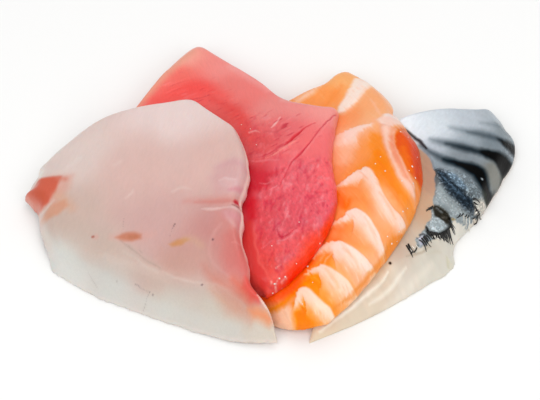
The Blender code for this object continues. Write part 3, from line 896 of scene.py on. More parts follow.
salmon = {
    "grain": 0.2,
    "ragged": 0.12,
    "wobble": 0.25,
    "veil": 0.016,
    "nudges": [
        (15.5, 13, 3.4, 1.3, 0.8), (17.6, 7.5, 3.2, 0.7, 0.3), (13.8, 17.8, 1.4, -0.6, -0.3),
    ],
    "drift": (0.8, 4.0, 51),
    "tones": [
        (2, 30, 5, "ffb473"), (-2, 25, 4, "ff9d57"), (9, 22, 5, "feae78"), (3, 16.5, 3.5, "fc9c62"),
        (8, 14.5, 3.5, "fbb583"), (2, 9.5, 4, "fbb48c"), (1.5, 4, 3.5, "fa9c66"), (6, 5, 3, "fb9a50"),
        (9, -3, 4, "fa8a28"), (16, 2, 4, "e65c0a"), (3, -7, 3, "fd9452"), (7, -9.5, 3, "fea058"),
        (11, -9, 3, "fdb07c"), (3.5, -18.5, 3, "fa9a56"), (9, -16.5, 3, "fbaa72"), (12, -18, 2.5, "f9a060"),
        (-4, -19, 3, "fd7434"), (1, -25.5, 3, "fbaf68"), (5, -27.5, 3, "fcb68c"), (-4, -28, 3, "fa9418"),
        (0, -31.5, 2.5, "fea85c"), (-8, -35, 3, "fb8608"), (-13, -34, 4, "f4a680"),
        (-6, -36.6, 3, "fb8208"),
    ],
    "strokes": [
        ("fcd0b6", 0.85, 0.9, 0.05, [(-3.8, 28.6, 0.4), (-6.2, 26.2, 0.8), (-8.6, 24.4, 0.7)]),
        ("fd8f42", 0.5, 1, 0, [(1.5, 28, 0.5), (-0.5, 24.5, 0.9), (-2.5, 21.5, 0.6)]),
        ("fdcdb2", 0.8, 1.2, 0.06, [(7.4, 29.5, 1), (5.6, 25, 1.2), (3.4, 21, 1.2), (1.2, 18.6, 0.8)]),
        ("fee6da", 0.95, 0.6, 0.1, [(4.8, 30.8), (7.6, 30.6), (8.8, 28.2), (6.4, 24.4), (4.6, 21.4),
            (2.2, 18.8), (0.2, 18.4), (0.8, 21.2), (2.4, 24.6), (3.6, 27.6)]),
        ("fdd0b4", 0.5, 0.5, 0, [(5, 22.6, 0.15), (6.6, 25.4, 0.3), (8.4, 28, 0.2)]),
        ("fec3a8", 0.6, 0.4, 0, [(8, 21.8, 0.15), (8.9, 18.8, 0.3), (9.8, 15.4, 0.2)]),
        ("fdc4a2", 0.6, 0.9, 0, [(9.6, 27, 0.3), (11.8, 23.2, 0.5), (13.2, 18.6, 0.4)]),
        ("fcbb98", 0.85, 1.4, 0, [(-0.2, 8, 1.8), (0.4, 5, 2.2), (1.2, 3, 1.6), (2.6, 6.6, 1.6)]),
        ("fcb58c", 0.7, 1.1, 0, [(5.8, 11.2, 0.9), (8.4, 13.4, 0.9)]),
        ("fbd3c6", 0.92, 0.6, 0.14, [(8.8, 13.4), (10.5, 15.2), (13, 16.8), (15.5, 16.5), (15, 13.5),
            (13, 11.8), (11.6, 9.6), (10.2, 9.8)]),
        ("f3e0da", 0.8, 0.6, 0.05, [(11, 15, 0.5), (13.4, 15.8, 0.7), (15, 15.6, 0.4)]),
        ("fa8e30", 0.9, 0.8, -0.16, [(7.4, 9.4), (9.2, 8.8), (10, 5), (11, 0.5), (12.4, -4), (14, -8),
            (16.2, -10.6), (14.4, -12), (12.4, -10.4), (10.6, -6.8), (9.2, -3.5), (7.6, 0.5), (7, 5.5)]),
        ("fb8008", 0.9, 0.9, -0.06, [(8.4, 3, 0.4), (9.2, -1, 0.9), (10.8, -5, 0.7), (12.6, -8.6, 0.4)]),
        ("f4ad8e", 0.92, 0.7, 0.16, [(9.4, 11.8), (9.8, 6), (10.8, 0.8), (12.2, -3.8), (14.2, -7.6),
            (16.4, -8.8), (16.2, -6.2), (15, -3.2), (13.8, 0.8), (12.9, 5), (12.8, 9.8)]),
        ("f09270", 0.9, 0.6, 0, [(11.8, 7, 0.5), (12.3, 3, 0.8), (12.8, 0, 0.8), (13.4, -1.6, 0.4),
            (14.6, -4.8, 0.3)]),
        ("fbcfbe", 0.85, 0.6, 0.06, [(10.6, 10, 0.9), (10.5, 5.8, 0.45), (11.2, 1, 0.3), (12.6, -3.2, 0.4),
            (14.4, -6.6, 0.6), (15.9, -8.2, 0.5)]),
        ("f9bfa9", 0.7, 0.35, 0.04, [(12.4, 8.4, 0.25), (12.7, 4.4, 0.2), (13.6, -0.4, 0.2),
            (14.8, -4.2, 0.2), (15.8, -6.4, 0.2)]),
        ("e95a06", 1, 0.7, -0.14, [(12.6, 7.8), (13.8, 10.4), (16, 12.4), (17.8, 10.4), (19.4, 6.5),
            (20, 2), (19, -4), (16.8, -4.6), (15.4, -3.4), (14, 0.6), (12.9, 4.5)]),
        ("de7a3c", 0.75, 1, 0, [(13.8, 9.8, 0.5), (15.6, 11.4, 0.7), (17.2, 10.2, 0.5)]),
        ("dc4400", 0.85, 1.1, -0.04, [(16.6, 6.4, 0.6), (17.2, 3, 1.1), (17.4, -0.6, 0.9),
            (17.4, -3.4, 0.4)]),
        ("f47a14", 0.7, 0.8, 0, [(14.2, 4, 0.4), (14.6, 0.4, 0.6), (15.8, -2.6, 0.5)]),
        ("f9a878", 0.6, 0.6, 0, [(16.4, -5.4, 0.4), (17.6, -6.8, 0.5), (18.2, -9, 0.3)]),
        ("f9943c", 0.8, 0.6, -0.12, [(13.4, -11.4), (15, -10.8), (17.6, -10.4), (17, -12.6), (15.2, -14.2),
            (14.2, -13.6)]),
        ("fc6404", 0.95, 0.9, -0.12, [(0, -7, 0.5), (0.5, -9.2, 1), (1, -11, 0.5), (2.2, -9.2, 0.3)]),
        ("fd8c48", 0.6, 0.9, 0, [(2.6, -9, 0.6), (5.2, -10.4, 0.6), (7.4, -14, 0.4)]),
        ("fba883", 0.6, 0.6, 0, [(-0.8, -15.6, 0.4), (0.6, -16, 0.4)]),
        ("f98e2c", 0.8, 0.6, -0.12, [(10.2, -20), (11.4, -18), (13, -17.4), (12.2, -19.4), (10.4, -21.8),
            (9.4, -23)]),
        ("fd6a14", 0.9, 0.9, -0.12, [(-2, -15.4, 0.4), (-2.8, -17.2, 1), (-4, -19, 0.6)]),
        ("fc9a5c", 0.6, 0.8, 0, [(-1.4, -17.6, 0.8), (1, -18.6, 0.8), (3.4, -20.4, 0.5)]),
        ("fbb68e", 0.85, 0.8, 0.08, [(0.6, -23.6), (3, -24.6), (5.2, -26.2), (7.2, -25.8), (5.2, -28),
            (3.4, -29.6), (2.2, -28.6), (0.8, -26.6)]),
        ("f9691c", 0.85, 0.7, -0.12, [(-5.6, -21.8, 0.4), (-6.6, -23, 0.7), (-7.4, -24.2, 0.4)]),
        ("fc8e36", 0.8, 0.7, -0.1, [(-4.6, -21.9), (-2.6, -21.8), (-1.6, -23), (-2.6, -24.6),
            (-5.2, -24.2)]),
        ("fdc49a", 0.8, 0.3, 0.05, [(-1.8, -22, 0.1), (-2.8, -23.2, 0.2), (-3.4, -24.4, 0.1)]),
        ("fdc49a", 0.7, 0.3, 0.05, [(-3.2, -22, 0.08), (-4.2, -23.4, 0.15)]),
        ("fdb27c", 0.85, 0.8, 0.06, [(-2.2, -28.2), (-0.6, -29), (1.6, -31), (1, -32.2), (-0.8, -33.4),
            (-2, -32.6), (-2.2, -30.4)]),
        ("fb9220", 0.95, 0.7, -0.18, [(-8, -27.2), (-6.4, -27), (-4.6, -27.6), (-3.2, -28.8), (-2.6, -30.4),
            (-2.6, -32.2), (-3.6, -32.4), (-5.2, -30.6), (-6.8, -28.6)]),
        ("fb8600", 0.8, 0.7, 0, [(-6.4, -27.6, 0.3), (-4.6, -29, 0.6), (-3.4, -31.2, 0.4)]),
        ("fbb45c", 0.5, 0.5, 0, [(-5.6, -27.4, 0.2), (-4.8, -28.6, 0.2)]),
        ("f98a38", 0.8, 0.9, -0.05, [(8.8, -3.4, 0.4), (10.4, -7, 0.7), (12.2, -10.4, 0.7),
            (13.8, -12.6, 0.4)]),
        ("fa8206", 0.92, 0.7, -0.14, [(-10.2, -32.4), (-9.2, -32.8), (-7.4, -34.6), (-5.6, -36),
            (-3.2, -36.2), (-5, -37.4), (-7.5, -37.4), (-9, -36.6), (-10, -34.6)]),
        ("ffcaaa", 0.92, 0.7, 0.06, [(-18, -32.4), (-14, -32.4), (-11.4, -32.4), (-10.6, -33.4),
            (-10, -35.6), (-8.8, -38.5), (-18, -38.5)]),
        ("fc8a14", 0.92, 0.8, -0.08, [(-16.5, -31.6, 0.4), (-14, -32, 0.5), (-11.6, -31.4, 0.6),
            (-9.6, -29.6, 0.7), (-8, -27.6, 0.6), (-6.8, -25.8, 0.3)]),
        # red-orange below the tuna's tip: a painted glow of light bled from the tuna into the shade where it
        # lies on the salmon
        ("fd4a0c", 0.95, 0.9, 0, [(-16.5, -28.6, 1.6), (-14, -29.2, 1.8), (-11.4, -28.6, 1.8),
            (-9.2, -26.4, 1.5), (-7.4, -24.4, 1.1), (-5.6, -22.4, 0.7)]),
        ("f2924c", 0.7, 0.3, 0, [(17.6, -12.6, 0.1), (15.2, -15, 0.2), (12.6, -18.4, 0.25),
            (9.8, -22.8, 0.25), (7.8, -25.6, 0.25), (5.4, -28.4, 0.25), (3.4, -30.6, 0.2), (0, -34.4, 0.2),
            (-2.4, -36.4, 0.15), (-5, -38, 0.15)]),
    ],
    "crests": [   # edge tone, core tone (pale fat, partly a painted highlight), lift, then x, y, depth along the ridge
        ("fdc4a6", "fddacd", 0.1, [(-1.6, 8.8, 3), (-0.4, 10, 5.4), (1.2, 11.6, 7.2), (3.6, 12.6, 6),
            (6.6, 12.6, 1.6)]),
        ("fdbd8c", "fee2cc", 0.18, [(-9.9, -31.8, 2.2), (-9.5, -29.9, 3.4), (-8.4, -29, 4), (-7, -29.4, 4),
            (-5.4, -31.4, 3.8), (-3.5, -33.4, 3.2), (-1.4, -34.8, 2)]),
        ("fbb286", "fddacb", 0.22, [(-0.6, -5.2, 0.6), (0.4, -3.8, 2.2), (2.2, -2.4, 4.6), (4.2, -1.4, 5.8),
            (6, -1, 5.4), (7.5, -3, 4), (8.5, -6, 3.2), (9.7, -9.5, 3.2), (11.6, -13, 4.2),
            (14.2, -15, 3.4), (15, -15.8, 1)]),
        ("fbae7e", "fee2d6", 0.22, [(-1.8, -15.2, 0.8), (0.4, -13.4, 2.8), (2, -12.1, 5.6), (3.6, -12, 7.4),
            (5.5, -13.4, 6.2), (7, -16, 4.8), (8.5, -19.4, 4), (9.2, -22, 2.2)]),
        ("fcb488", "fee4d8", 0.2, [(-5.6, -22.4, 0.6), (-4.4, -20.7, 1.8), (-3, -19.8, 3),
            (-1.2, -19.5, 4.6), (1, -20.4, 5.8), (3, -22, 5.6), (4.8, -24, 4.8), (7.2, -25.3, 3)]),
        ("fcb680", "fedeca", 0.16, [(-7.2, -26, 0.6), (-5.6, -24.8, 2), (-3.8, -24.6, 3),
            (-1.6, -26.2, 4.6), (0.6, -28.4, 5), (3.2, -30.3, 3)]),
    ],
    "lastStrokes": [   # thin lines on top of the crests
        ("fba06c", 0.5, 0.4, 0, [(8.8, -9, 0.15), (10.2, -12.2, 0.25), (11.6, -15.2, 0.15)]),
        ("fbb48c", 0.5, 0.4, 0, [(5.2, -14.6, 0.1), (6.6, -18, 0.25), (7.6, -21, 0.15)]),
        ("fdb083", 0.5, 0.5, 0, [(0.4, -21.8, 0.1), (2.6, -24.2, 0.25), (3.6, -26.4, 0.15)]),
        ("fcae72", 0.5, 0.5, 0, [(-3.2, -26, 0.1), (-1.6, -28.4, 0.25), (-0.4, -30.6, 0.15)]),
        ("ee8c3a", 0.8, 0.35, 0, [(15.2, -14, 0.2), (11.8, -18.8, 0.4), (9.4, -22.2, 0.45),
            (7.8, -24.6, 0.4), (5.4, -27.2, 0.35), (3.3, -29.7, 0.3), (0.8, -32.2, 0.2),
            (-1.6, -34.2, 0.1)]),
    ],
    "lastWobble": 0.2,
    "fleckTone": "fff2ea",
    "veinTone": "f98a50",
    "threadSizes": ((0.4, 3.4, 1.2), (0.25, 1.6, 0.8)),
    "threadTurn": 28.0,
    "threadDepth": 0.04,
    "strokeFraying": 0.2,
    "crestFraying": 0.35,
    # the crease colour is a painted orange glow, for light bled into the crease under the tuna and the white
    # fish
    "crease": (2.4, 1.1, "ff7e46", 0.55),
    "finish": {"roughness": 0.3, "coat": 0.04, "scatter": 0.2, "fibreTurn": 30.0, "fibreDepth": 0.06,
               "shine": 0.14},
}


def makeSalmon(above):
    look = salmon
    piece, surface = startSlice("salmon", "salmon_slice", look)
    facesUp = surface["facesUp"]
    rgb = driftingTones(surface, look["tones"], *look["drift"])
    along = turned(surface["spots"], look["threadTurn"])
    threads = mottle(along, look["threadSizes"][0], 57) + 0.6 * mottle(along, look["threadSizes"][1], 58)
    applyStrokes(surface, rgb, look["strokes"], look["wobble"], 53, look["strokeFraying"] * threads)
    applyCrests(surface, rgb, look["crests"], look["crestFraying"] * threads)
    applyStrokes(surface, rgb, look["lastStrokes"], look["lastWobble"], 55)
    pale = ease(0.0, 0.25, surface["lift"])
    mixTone(rgb, look["fleckTone"], (0.06 + 0.22 * pale) * ease(0.2, 1.1, threads) * facesUp)
    mixTone(rgb, look["veinTone"], (0.05 + 0.16 * pale) * ease(-0.3, -1.1, threads) * facesUp)
    surface["lift"] += look["threadDepth"] * threads * facesUp
    fillCreasesAndPaintGlow(surface, rgb, above, *look["crease"])
    writeSurface(piece, surface, rgb, {}, look["veil"])
    dress(piece, fleshFinish("salmonFlesh", **look["finish"]), "salmon_slice")
    return piece


# mackerel: pale flesh with striped silver skin on its far half

mackerel = {
    "grain": 0.2,
    "ragged": 0.1,
    "fleshWobble": 0.15,
    "skinWobble": 0.22,
    "veil": 0.022,
    "nudges": [
        (18.3, 29.6, 2, 0, 0.8), (22.2, 26.6, 2, -0.5, -0.3), (22.6, 12, 4, -0.9, 0.3),
        (20, 5.5, 4, -0.9, 0.4), (9, -10, 1.6, 0.7, 0), (6.5, -14, 1.6, 0.5, -0.7),
    ],
    "fleshDrift": (0.8, 4.0, 71),
    # the darker beige tones beside the salmon's edge and the skin are partly the flesh's own, partly painted
    # shade where the salmon overhangs
    "fleshTones": [
        (-21, -29, 5, "e6d2b9"), (-12, -25, 5, "e1d1bc"), (-4, -18, 5, "e1d7ca"), (3, -14, 5, "dcd6c9"),
        (9, -9, 4, "dbd7cc"), (-4, -13.2, 2.5, "c9b3a2"), (2.5, -10.5, 2, "c9c2b5"),
        (-3, -9, 3.5, "c6b29f"), (1.5, -2, 3.5, "c8a68a"), (2.6, 6, 3.5, "be9881"),
        (-8, -17.5, 3.5, "dfc3a9"), (10.5, -3.5, 2.5, "dedad0"),
    ],
    "skinDrift": (0.6, 3.0, 77),
    # lighter at the upper left, a painted sheen on the silver skin, and darker towards the rounded right
    # edge, painted shade, over the skin's own silver and blue-grey
    "skinTones": [
        (-2, 22, 4, "f2f5fa"), (2.5, 21.5, 4, "dfe5eb"), (7, 23.5, 4, "dae1e8"), (12, 24, 4, "c8d0d8"),
        (18, 27.5, 3, "bcc4cb"), (21.5, 24.5, 2.5, "8f999f"), (4.5, 15.8, 2.5, "b6bec7"),
        (12.6, 18.6, 3, "a4aeb6"), (17, 18, 2.5, "858f96"), (10.8, 13.4, 3, "8a9298"),
        (5.5, 10.5, 2.5, "909ba3"), (12, 7.8, 3, "89949b"), (14, 4.6, 3, "7d878c"), (5.4, 1, 2.5, "99a3a6"),
        (8.4, -0.6, 2.5, "9aa3a6"), (17.6, 10.6, 1.8, "8a8b86"),
    ],
    "skinOutline": [
        (-9, 30), (-5, 24), (-3.6, 21.2), (-2.2, 19.2), (-1, 17.4), (0.2, 15.8), (1.6, 14.8), (2.8, 13.4),
        (3.8, 11.2), (4.2, 8.4), (4.1, 4.6), (3.7, 1.4), (3.3, -0.8), (2.9, -3), (2, -5), (1.2, -6.8),
        (0, -7.8), (-0.8, -9.2), (-0.6, -10.6), (0.4, -10.8), (1.8, -9.6), (2.6, -8.2), (4.6, -7.6),
        (6.2, -6.4), (7.2, -4.8), (7.6, -3.2), (8.8, -2.8), (10.2, -2), (11.6, -1), (12.6, 0.4),
        (13.8, 1.4), (15.4, 2.8), (17.5, 5.2), (34, 14), (34, 44), (-9, 44),
    ],
    "skinLift": 0.22,
    "fleshStrokes": [
        # the pale lines raised where the flesh's edge turns are painted highlights, and the darker strips
        # sunk beside them painted shade
        ("fbf3e6", 0.9, 0.4, 0.22, [(-21.5, -28.6, 0.2), (-18.5, -26.2, 0.35), (-15, -24, 0.35),
            (-12, -21.6, 0.3), (-9, -19.4, 0.25), (-7, -16.8, 0.2)]),
        ("d3b797", 0.7, 0.5, -0.12, [(-20.5, -27.2, 0.15), (-15, -22.8, 0.35), (-10.5, -18.8, 0.35),
            (-7, -15, 0.25)]),
        ("f8f0e2", 0.8, 0.4, 0.16, [(-11, -22.6, 0.15), (-7.6, -20.2, 0.3), (-5, -17.6, 0.3),
            (-3, -15.2, 0.15)]),
        ("dccdb8", 0.5, 0.5, -0.06, [(-10, -20.6, 0.1), (-6, -17, 0.3), (-3.6, -14.2, 0.1)]),
        ("f1e8d9", 0.5, 0.6, 0.05, [(-8, -23, 0.4), (-2, -17.5, 0.6), (3, -12.5, 0.3)]),
        ("d6d1ba", 0.6, 0.8, 0.12, [(7, -10.4, 0.4), (8.2, -12, 0.6), (6.8, -13.4, 0.4)]),
        ("c4bf9f", 0.5, 0.4, -0.1, [(6.4, -9.6, 0.2), (6.8, -11.4, 0.25)]),
        ("c9c1ad", 0.5, 0.4, -0.05, [(1.6, -11.6, 0.1), (3.4, -10.4, 0.2), (5, -9.8, 0.1)]),
        ("2a1c14", 1, 0.16, -0.05, [(-6.5, -14.9, 0.3)]),
        ("a8967f", 0.6, 0.3, -0.08, [(-2.8, -13.2, 0.1), (0, -11.8, 0.2), (2.4, -10, 0.1)]),
        ("e8e2d6", 0.8, 0.5, 0.05, [(7, -3.9), (8.4, -3.1), (9.4, -2.9), (10, -4), (8, -5.8)]),
    ],
    "skinStrokes": [
        ("7d878e", 0.6, 1.2, 0, [(15.5, 24.4, 0.1), (18.5, 24.4, 0.5), (21.2, 25, 0.7), (23.5, 25.8, 0.7)]),
        ("2a2f31", 0.8, 0.6, 0, [(21.8, 25, 0.2), (22.8, 25.8, 0.5), (24, 25.4, 0.6)]),
        ("78838b", 0.85, 1.5, 0, [(8.6, 21.8, 0.1), (11.5, 21.2, 0.6), (14, 21, 0.9), (17, 20.7, 1),
            (20, 20.2, 1)]),
        ("4c565d", 0.75, 1, 0, [(12.4, 21, 0.1), (15, 20.8, 0.5), (18, 20.4, 0.7), (20, 20, 0.7)]),
        ("0d0f10", 0.97, 1, 0, [(19.6, 19.9, 0.2), (21.2, 19.9, 0.9), (22.8, 20.4, 1.3), (25, 21, 1.4)]),
        ("5d6870", 0.85, 1.4, 0, [(4, 18, 0.1), (6.6, 17.2, 0.7), (9.6, 16.4, 1), (12.6, 15.9, 1.1)]),
        ("2a3136", 0.9, 1, 0, [(7.4, 16.7, 0.2), (10.6, 15.9, 0.7), (13.6, 15.4, 0.9), (16.6, 15.1, 1)]),
        ("0a0c0c", 0.98, 1.1, 0, [(15.6, 15.5, 0.4), (17.4, 15, 1.2), (19.2, 14.8, 1.7), (21, 15, 2),
            (22.8, 15, 2)]),
        ("1b1d19", 0.94, 0.8, 0, [(21.4, 13.6, 1.3), (20.8, 11.4, 1), (20.2, 9.2, 0.9), (18.8, 7.2, 1.2),
            (17.2, 5.8, 1.4)]),
        ("4a545b", 0.88, 1, 0, [(1.4, 15.8, 0.3), (4.4, 13.5, 0.8), (6.6, 12, 1), (8.8, 11, 1)]),
        ("13191d", 0.98, 1.1, 0, [(6.6, 12, 0.2), (9.4, 10.9, 0.9), (11.4, 10.3, 1.4), (12.8, 9.8, 1.7),
            (13.9, 9.4, 1.8), (14.6, 8, 1.6), (15.4, 6.8, 1.4), (16.6, 6, 1.3)]),
        ("34362c", 0.75, 0.7, 0, [(15.6, 5.6, 0.7), (17.2, 5.4, 0.7), (18.4, 6.4, 0.5)]),
        ("8d8d87", 0.92, 0.7, 0, [(16.2, 12.2), (17.4, 13), (18.8, 12.6), (19.3, 11), (18.8, 9.2),
            (17.5, 8.2), (16.6, 9.4)]),
        ("cdd5d8", 0.9, 0.2, 0.05, [(14.6, 8, 0.22)]),
        ("27303a", 0.82, 0.8, 0, [(4.4, 9), (5.6, 9), (7, 8.2), (8.2, 6.6), (9.6, 5), (10.8, 3.4),
            (12.4, 2.4), (13.8, 2.2), (13, 0.8), (10.4, 0.2), (8.4, 1.4), (6.4, 3.4), (5, 6)]),
        ("8aa2b6", 0.85, 0.5, 0.05, [(6.8, 8.6), (8.6, 7.8), (9.8, 6.6), (11.2, 4.6), (10, 4.2), (8.4, 5.4),
            (7.2, 7)]),
        ("55697c", 0.7, 0.4, 0, [(5.6, 7.8, 0.2), (6.8, 6, 0.3), (8.4, 4, 0.3), (10.2, 2.4, 0.3)]),
        ("575a5b", 0.7, 0.5, 0, [(4.3, 8.6, 0.3), (4.4, 6.4, 0.4), (4.6, 4.4, 0.3)]),
        ("b6bfc2", 0.6, 0.5, 0.05, [(5, 2.2, 0.4), (6.2, 0.6, 0.6), (8.6, -1, 0.6), (10.8, -0.8, 0.4)]),
        ("d9d2c6", 0.9, 0.4, 0, [(12.4, 2.4), (13.4, 3.4), (15, 4.6), (16.4, 4.8), (15.4, 3), (13.8, 1.6),
            (12.8, 1)]),
        ("38352f", 0.94, 0.4, 0, [(3, -0.7), (4.6, -0.5), (6.4, -1.6), (7.2, -2.8), (6.6, -4.2),
            (5.2, -3.9), (3.6, -3)]),
        ("7d8588", 0.7, 0.25, 0.08, [(4.2, -1.3, 0.2), (5.2, -2, 0.25)]),
        ("6c6861", 0.7, 0.25, 0.08, [(5.4, -3.2, 0.2), (6.2, -2.8, 0.15)]),
        ("b2bdc1", 0.95, 0.3, 0.12, [(2.8, -3.6), (4.2, -3.3), (5.6, -3.9), (6, -4.8), (4.8, -6.2),
            (3, -6.6), (2.2, -5.4)]),
        ("cfd8dc", 0.7, 0.25, 0.05, [(2.8, -5.8, 0.25), (3.8, -6, 0.2)]),
        ("1c1b19", 0.96, 0.4, 0, [(1.4, -5.8, 0.2), (2, -7.1, 0.45), (3.6, -7.5, 0.6), (5.2, -6.9, 0.7),
            (6.4, -5.7, 0.6), (7.1, -4.3, 0.4), (6.9, -2.8, 0.2)]),
        ("c3c4d2", 0.95, 0.25, 0.08, [(-0.3, -8.6), (0.6, -7.9), (1.3, -8.6), (1.2, -10.2), (0, -10.2)]),
        ("26242a", 0.9, 0.25, 0, [(-0.5, -8.6, 0.1), (0.2, -7.8, 0.15), (1.2, -7.7, 0.15),
            (1.8, -8.8, 0.2)]),
        ("2c2a28", 0.85, 0.3, 0, [(-2.4, -11.8, 0.2), (-1.4, -11, 0.15), (-0.4, -10.4, 0.1)]),
        ("b48d4a", 0.7, 0.2, 0, [(7.6, -2.7, 0.2), (8.2, -2.5, 0.1)]),
        # the dark line along the salmon's edge: the skin's dark edge, deepened with painted shadow where the
        # salmon lies on it
        ("241d1e", 0.85, 0.35, 0, [(-3.6, 22.6, 0.2), (-1.6, 20.8, 0.35), (0, 18.8, 0.4), (1.4, 17, 0.4),
            (2.6, 15.2, 0.3)]),
    ],
    "glitter": [   # where the skin breaks into raised flakes that glitter with painted glints: strength, softness, outline
        (0.55, 0.9, [(8.4, 9.6), (11, 8.6), (13.2, 6.4), (15.4, 4.4), (15, 2.6), (13, 3), (11.2, 5.2),
            (9.4, 7.2)]),
        (1, 0.7, [(4.2, 9.4), (6.8, 9.2), (9, 7.6), (11.4, 4.8), (13.6, 3), (14.6, 1.6), (12.6, 0.2),
            (9.6, -0.4), (6.8, 2.4), (4.8, 5.2)]),
        (0.4, 0.6, [(2.6, 0), (5, 0.2), (7.6, -1.4), (7.8, -4.6), (5.2, -7.8), (1.6, -7.6), (-2.8, -12.8),
            (-2.4, -11), (1, -6.4)]),
        (0.35, 1, [(19, 25.5), (22, 26.5), (25, 24), (24, 16), (20, 17.5), (21.5, 22)]),
        (0.3, 1.2, [(3.6, 4.6), (7, 1.8), (11, -0.2), (15, 2.6), (12, -1.6), (8, -3.2), (3.4, -1)]),
    ],
    "darkHairs": [   # rows of torn fibres: from x, y to x, y, how many, how far each one reaches, half width
        (-3.2, -11, -2, -9.8, 2, 1.2, -2.2, 0.24), (-2.2, -12.6, -1.2, -12, 2, 0.8, 1.3, 0.2),
        (-0.2, -9.4, 1.5, -7.8, 4, 1.3, -1.6, 0.2), (1.7, -7, 5.2, -6.6, 12, 0.8, -0.8, 0.2),
        (4.6, -6.8, 7, -4.8, 9, 1, -0.9, 0.2), (2.2, -7.8, 6, -7, 6, 1.5, 0.35, 0.16),
        (6.6, -3.2, 7.4, -4.6, 3, 1.7, -0.4, 0.16), (9.2, -1.4, 12, 0, 4, -0.8, -1, 0.18),
        (12.4, 2.8, 13.4, 1.2, 4, 1.7, 0.6, 0.24), (13, 0.8, 14.8, 2.4, 3, -0.9, -1, 0.2),
        (3.4, -0.4, 3.2, -1.8, 3, -1.4, -0.8, 0.18), (0.6, -8.8, 1.8, -7.6, 3, 1.2, -1.3, 0.16),
    ],
    "paleHairs": [
        (-2.4, -11.2, -0.6, -10, 3, 0.8, -1.2, 0.14), (0.5, -9, 1.5, -8.4, 2, 0.8, -1.2, 0.14),
        (2.2, -7.4, 5.6, -6.8, 7, 0.8, -0.9, 0.13), (12.6, 2.6, 13.6, 1.2, 3, 1.5, 0.6, 0.16),
        (9.8, -1.4, 12, -0.2, 3, 0.3, -1, 0.14),
    ],
    "darkHairTone": "171614",
    "paleHairTone": "dcd8ce",
    "grooveSize": (0.8, 7.0, 2.0),
    "grooveTurn": 42.0,
    "grooveDepth": 0.05,
    "flakeSize": (0.45, 0.6, 0.6),
    "flakeDepth": 0.09,
    "bumpDepth": 0.08,
    "metal": 0.3,
    # the crease colour is painted shade, warmed by light bled from the salmon
    "crease": (1.2, 0.5, "e0b58e", 0.3),
    "finish": {"roughness": 0.36, "coat": 0.0, "scatter": 0.12, "shine": 0.07},
    "hairFinish": {"roughness": 0.35, "coat": 0.2, "scatter": 0.0},
}


def makeMackerel(above):
    look = mackerel
    piece, surface = startSlice("mackerel", "mackerel_slice", look)
    plan, spots = surface["plan"], surface["spots"]
    flesh = driftingTones(surface, look["fleshTones"], *look["fleshDrift"])
    applyStrokes(surface, flesh, look["fleshStrokes"], look["fleshWobble"], 73)
    torn = 0.3 * mottle(spots, 0.7, 75) + 0.2 * mottle(spots, 1.6, 76)
    torn *= ease(15.0, 6.0, plan[:, 1])
    covered = insideOutline(plan, look["skinOutline"]) + torn
    skin = ease(-0.15, 0.15, covered) * ease(-0.2, 0.2, surface["normals"][:, 2])
    grooves = mottle(turned(spots, look["grooveTurn"]), look["grooveSize"], 79) * (1.0 - skin)
    flesh *= (1.0 + 0.018 * grooves)[:, None]
    surface["lift"] += look["grooveDepth"] * grooves * surface["facesUp"]

    silver = driftingTones(surface, look["skinTones"], *look["skinDrift"])
    before = surface["lift"].copy()
    applyStrokes(surface, silver, look["skinStrokes"], look["skinWobble"], 81)
    raised = surface["lift"] - before
    surface["lift"] = before + skin * (raised + look["skinLift"] * ease(-0.2, 0.6, covered))
    glitter = zoneShare(plan, look["glitter"]) * skin
    surface["lift"] += look["flakeDepth"] * glitter * mottle(spots, look["flakeSize"], 83)
    rgb = flesh + (silver - flesh) * skin[:, None]
    fillCreasesAndPaintGlow(surface, rgb, above, *look["crease"])
    writeSurface(piece, surface, rgb, {"skin": skin, "glitter": glitter}, look["veil"])
    dress(piece, mackerelFinish(look), "mackerel_slice")
    growHairs("mackerel_dark_fibres", piece, surface, look["darkHairs"], look["darkHairTone"], 5)
    growHairs("mackerel_pale_fibres", piece, surface, look["paleHairs"], look["paleHairTone"], 6)
    return piece


def mackerelFinish(look):
    material, tree, shader = newFinish("mackerelSkinAndFlesh", **look["finish"])
    skinShare = attributeOf(tree, "skin")
    glitterShare = attributeOf(tree, "glitter")
    scales = noiseOf(tree, 1.5, 5.0, (1.0, 0.5, 1.0), 20.0)
    cells = flakeTone(tree, 2.6)
    tone = plusOf(tree, 1.0, timesOf(tree, skinShare, spread(tree, scales, 0.3, 0.7, -0.05, 0.05)))
    # painted glints: the flakes' colour is brightened in random cells, over their real bumps and metal shine
    paintedFlakeGlints = timesOf(tree, glitterShare, spread(tree, cells, 0.1, 1.0, -0.5, 1.1))
    paint(tree, shader, attributeOf(tree, "tint", "Color"), timesOf(tree, tone, plusOf(tree, 1.0, paintedFlakeGlints)))
    tree.links.new(timesOf(tree, skinShare, look["metal"]), shader.inputs["Metallic"])
    height = plusOf(tree, timesOf(tree, scales, 0.4), timesOf(tree, glitterShare, cells))
    raiseBumps(tree, shader, height, look["bumpDepth"])
    return material


def flakeTone(tree, scale):
    # a random value for each small flake, most of them low
    settings = {"Vector": placeOf(tree), "Scale": scale / mm, "Randomness": 1.0}
    cells = addNode(tree, "ShaderNodeTexVoronoi", settings)
    value = addNode(tree, "ShaderNodeSeparateColor", {"Color": cells.outputs["Color"]}).outputs["Red"]
    return addNode(tree, "ShaderNodeMath", {0: value, 1: 2.2}, operation="POWER").outputs["Value"]


fibre = {
    "points": 7,
    "spacing": (0.2, 0.8),   # where each one starts within its share of the row
    "reachSpread": (0.7, 1.25),
    "bendSpread": (-0.35, 0.35),
}


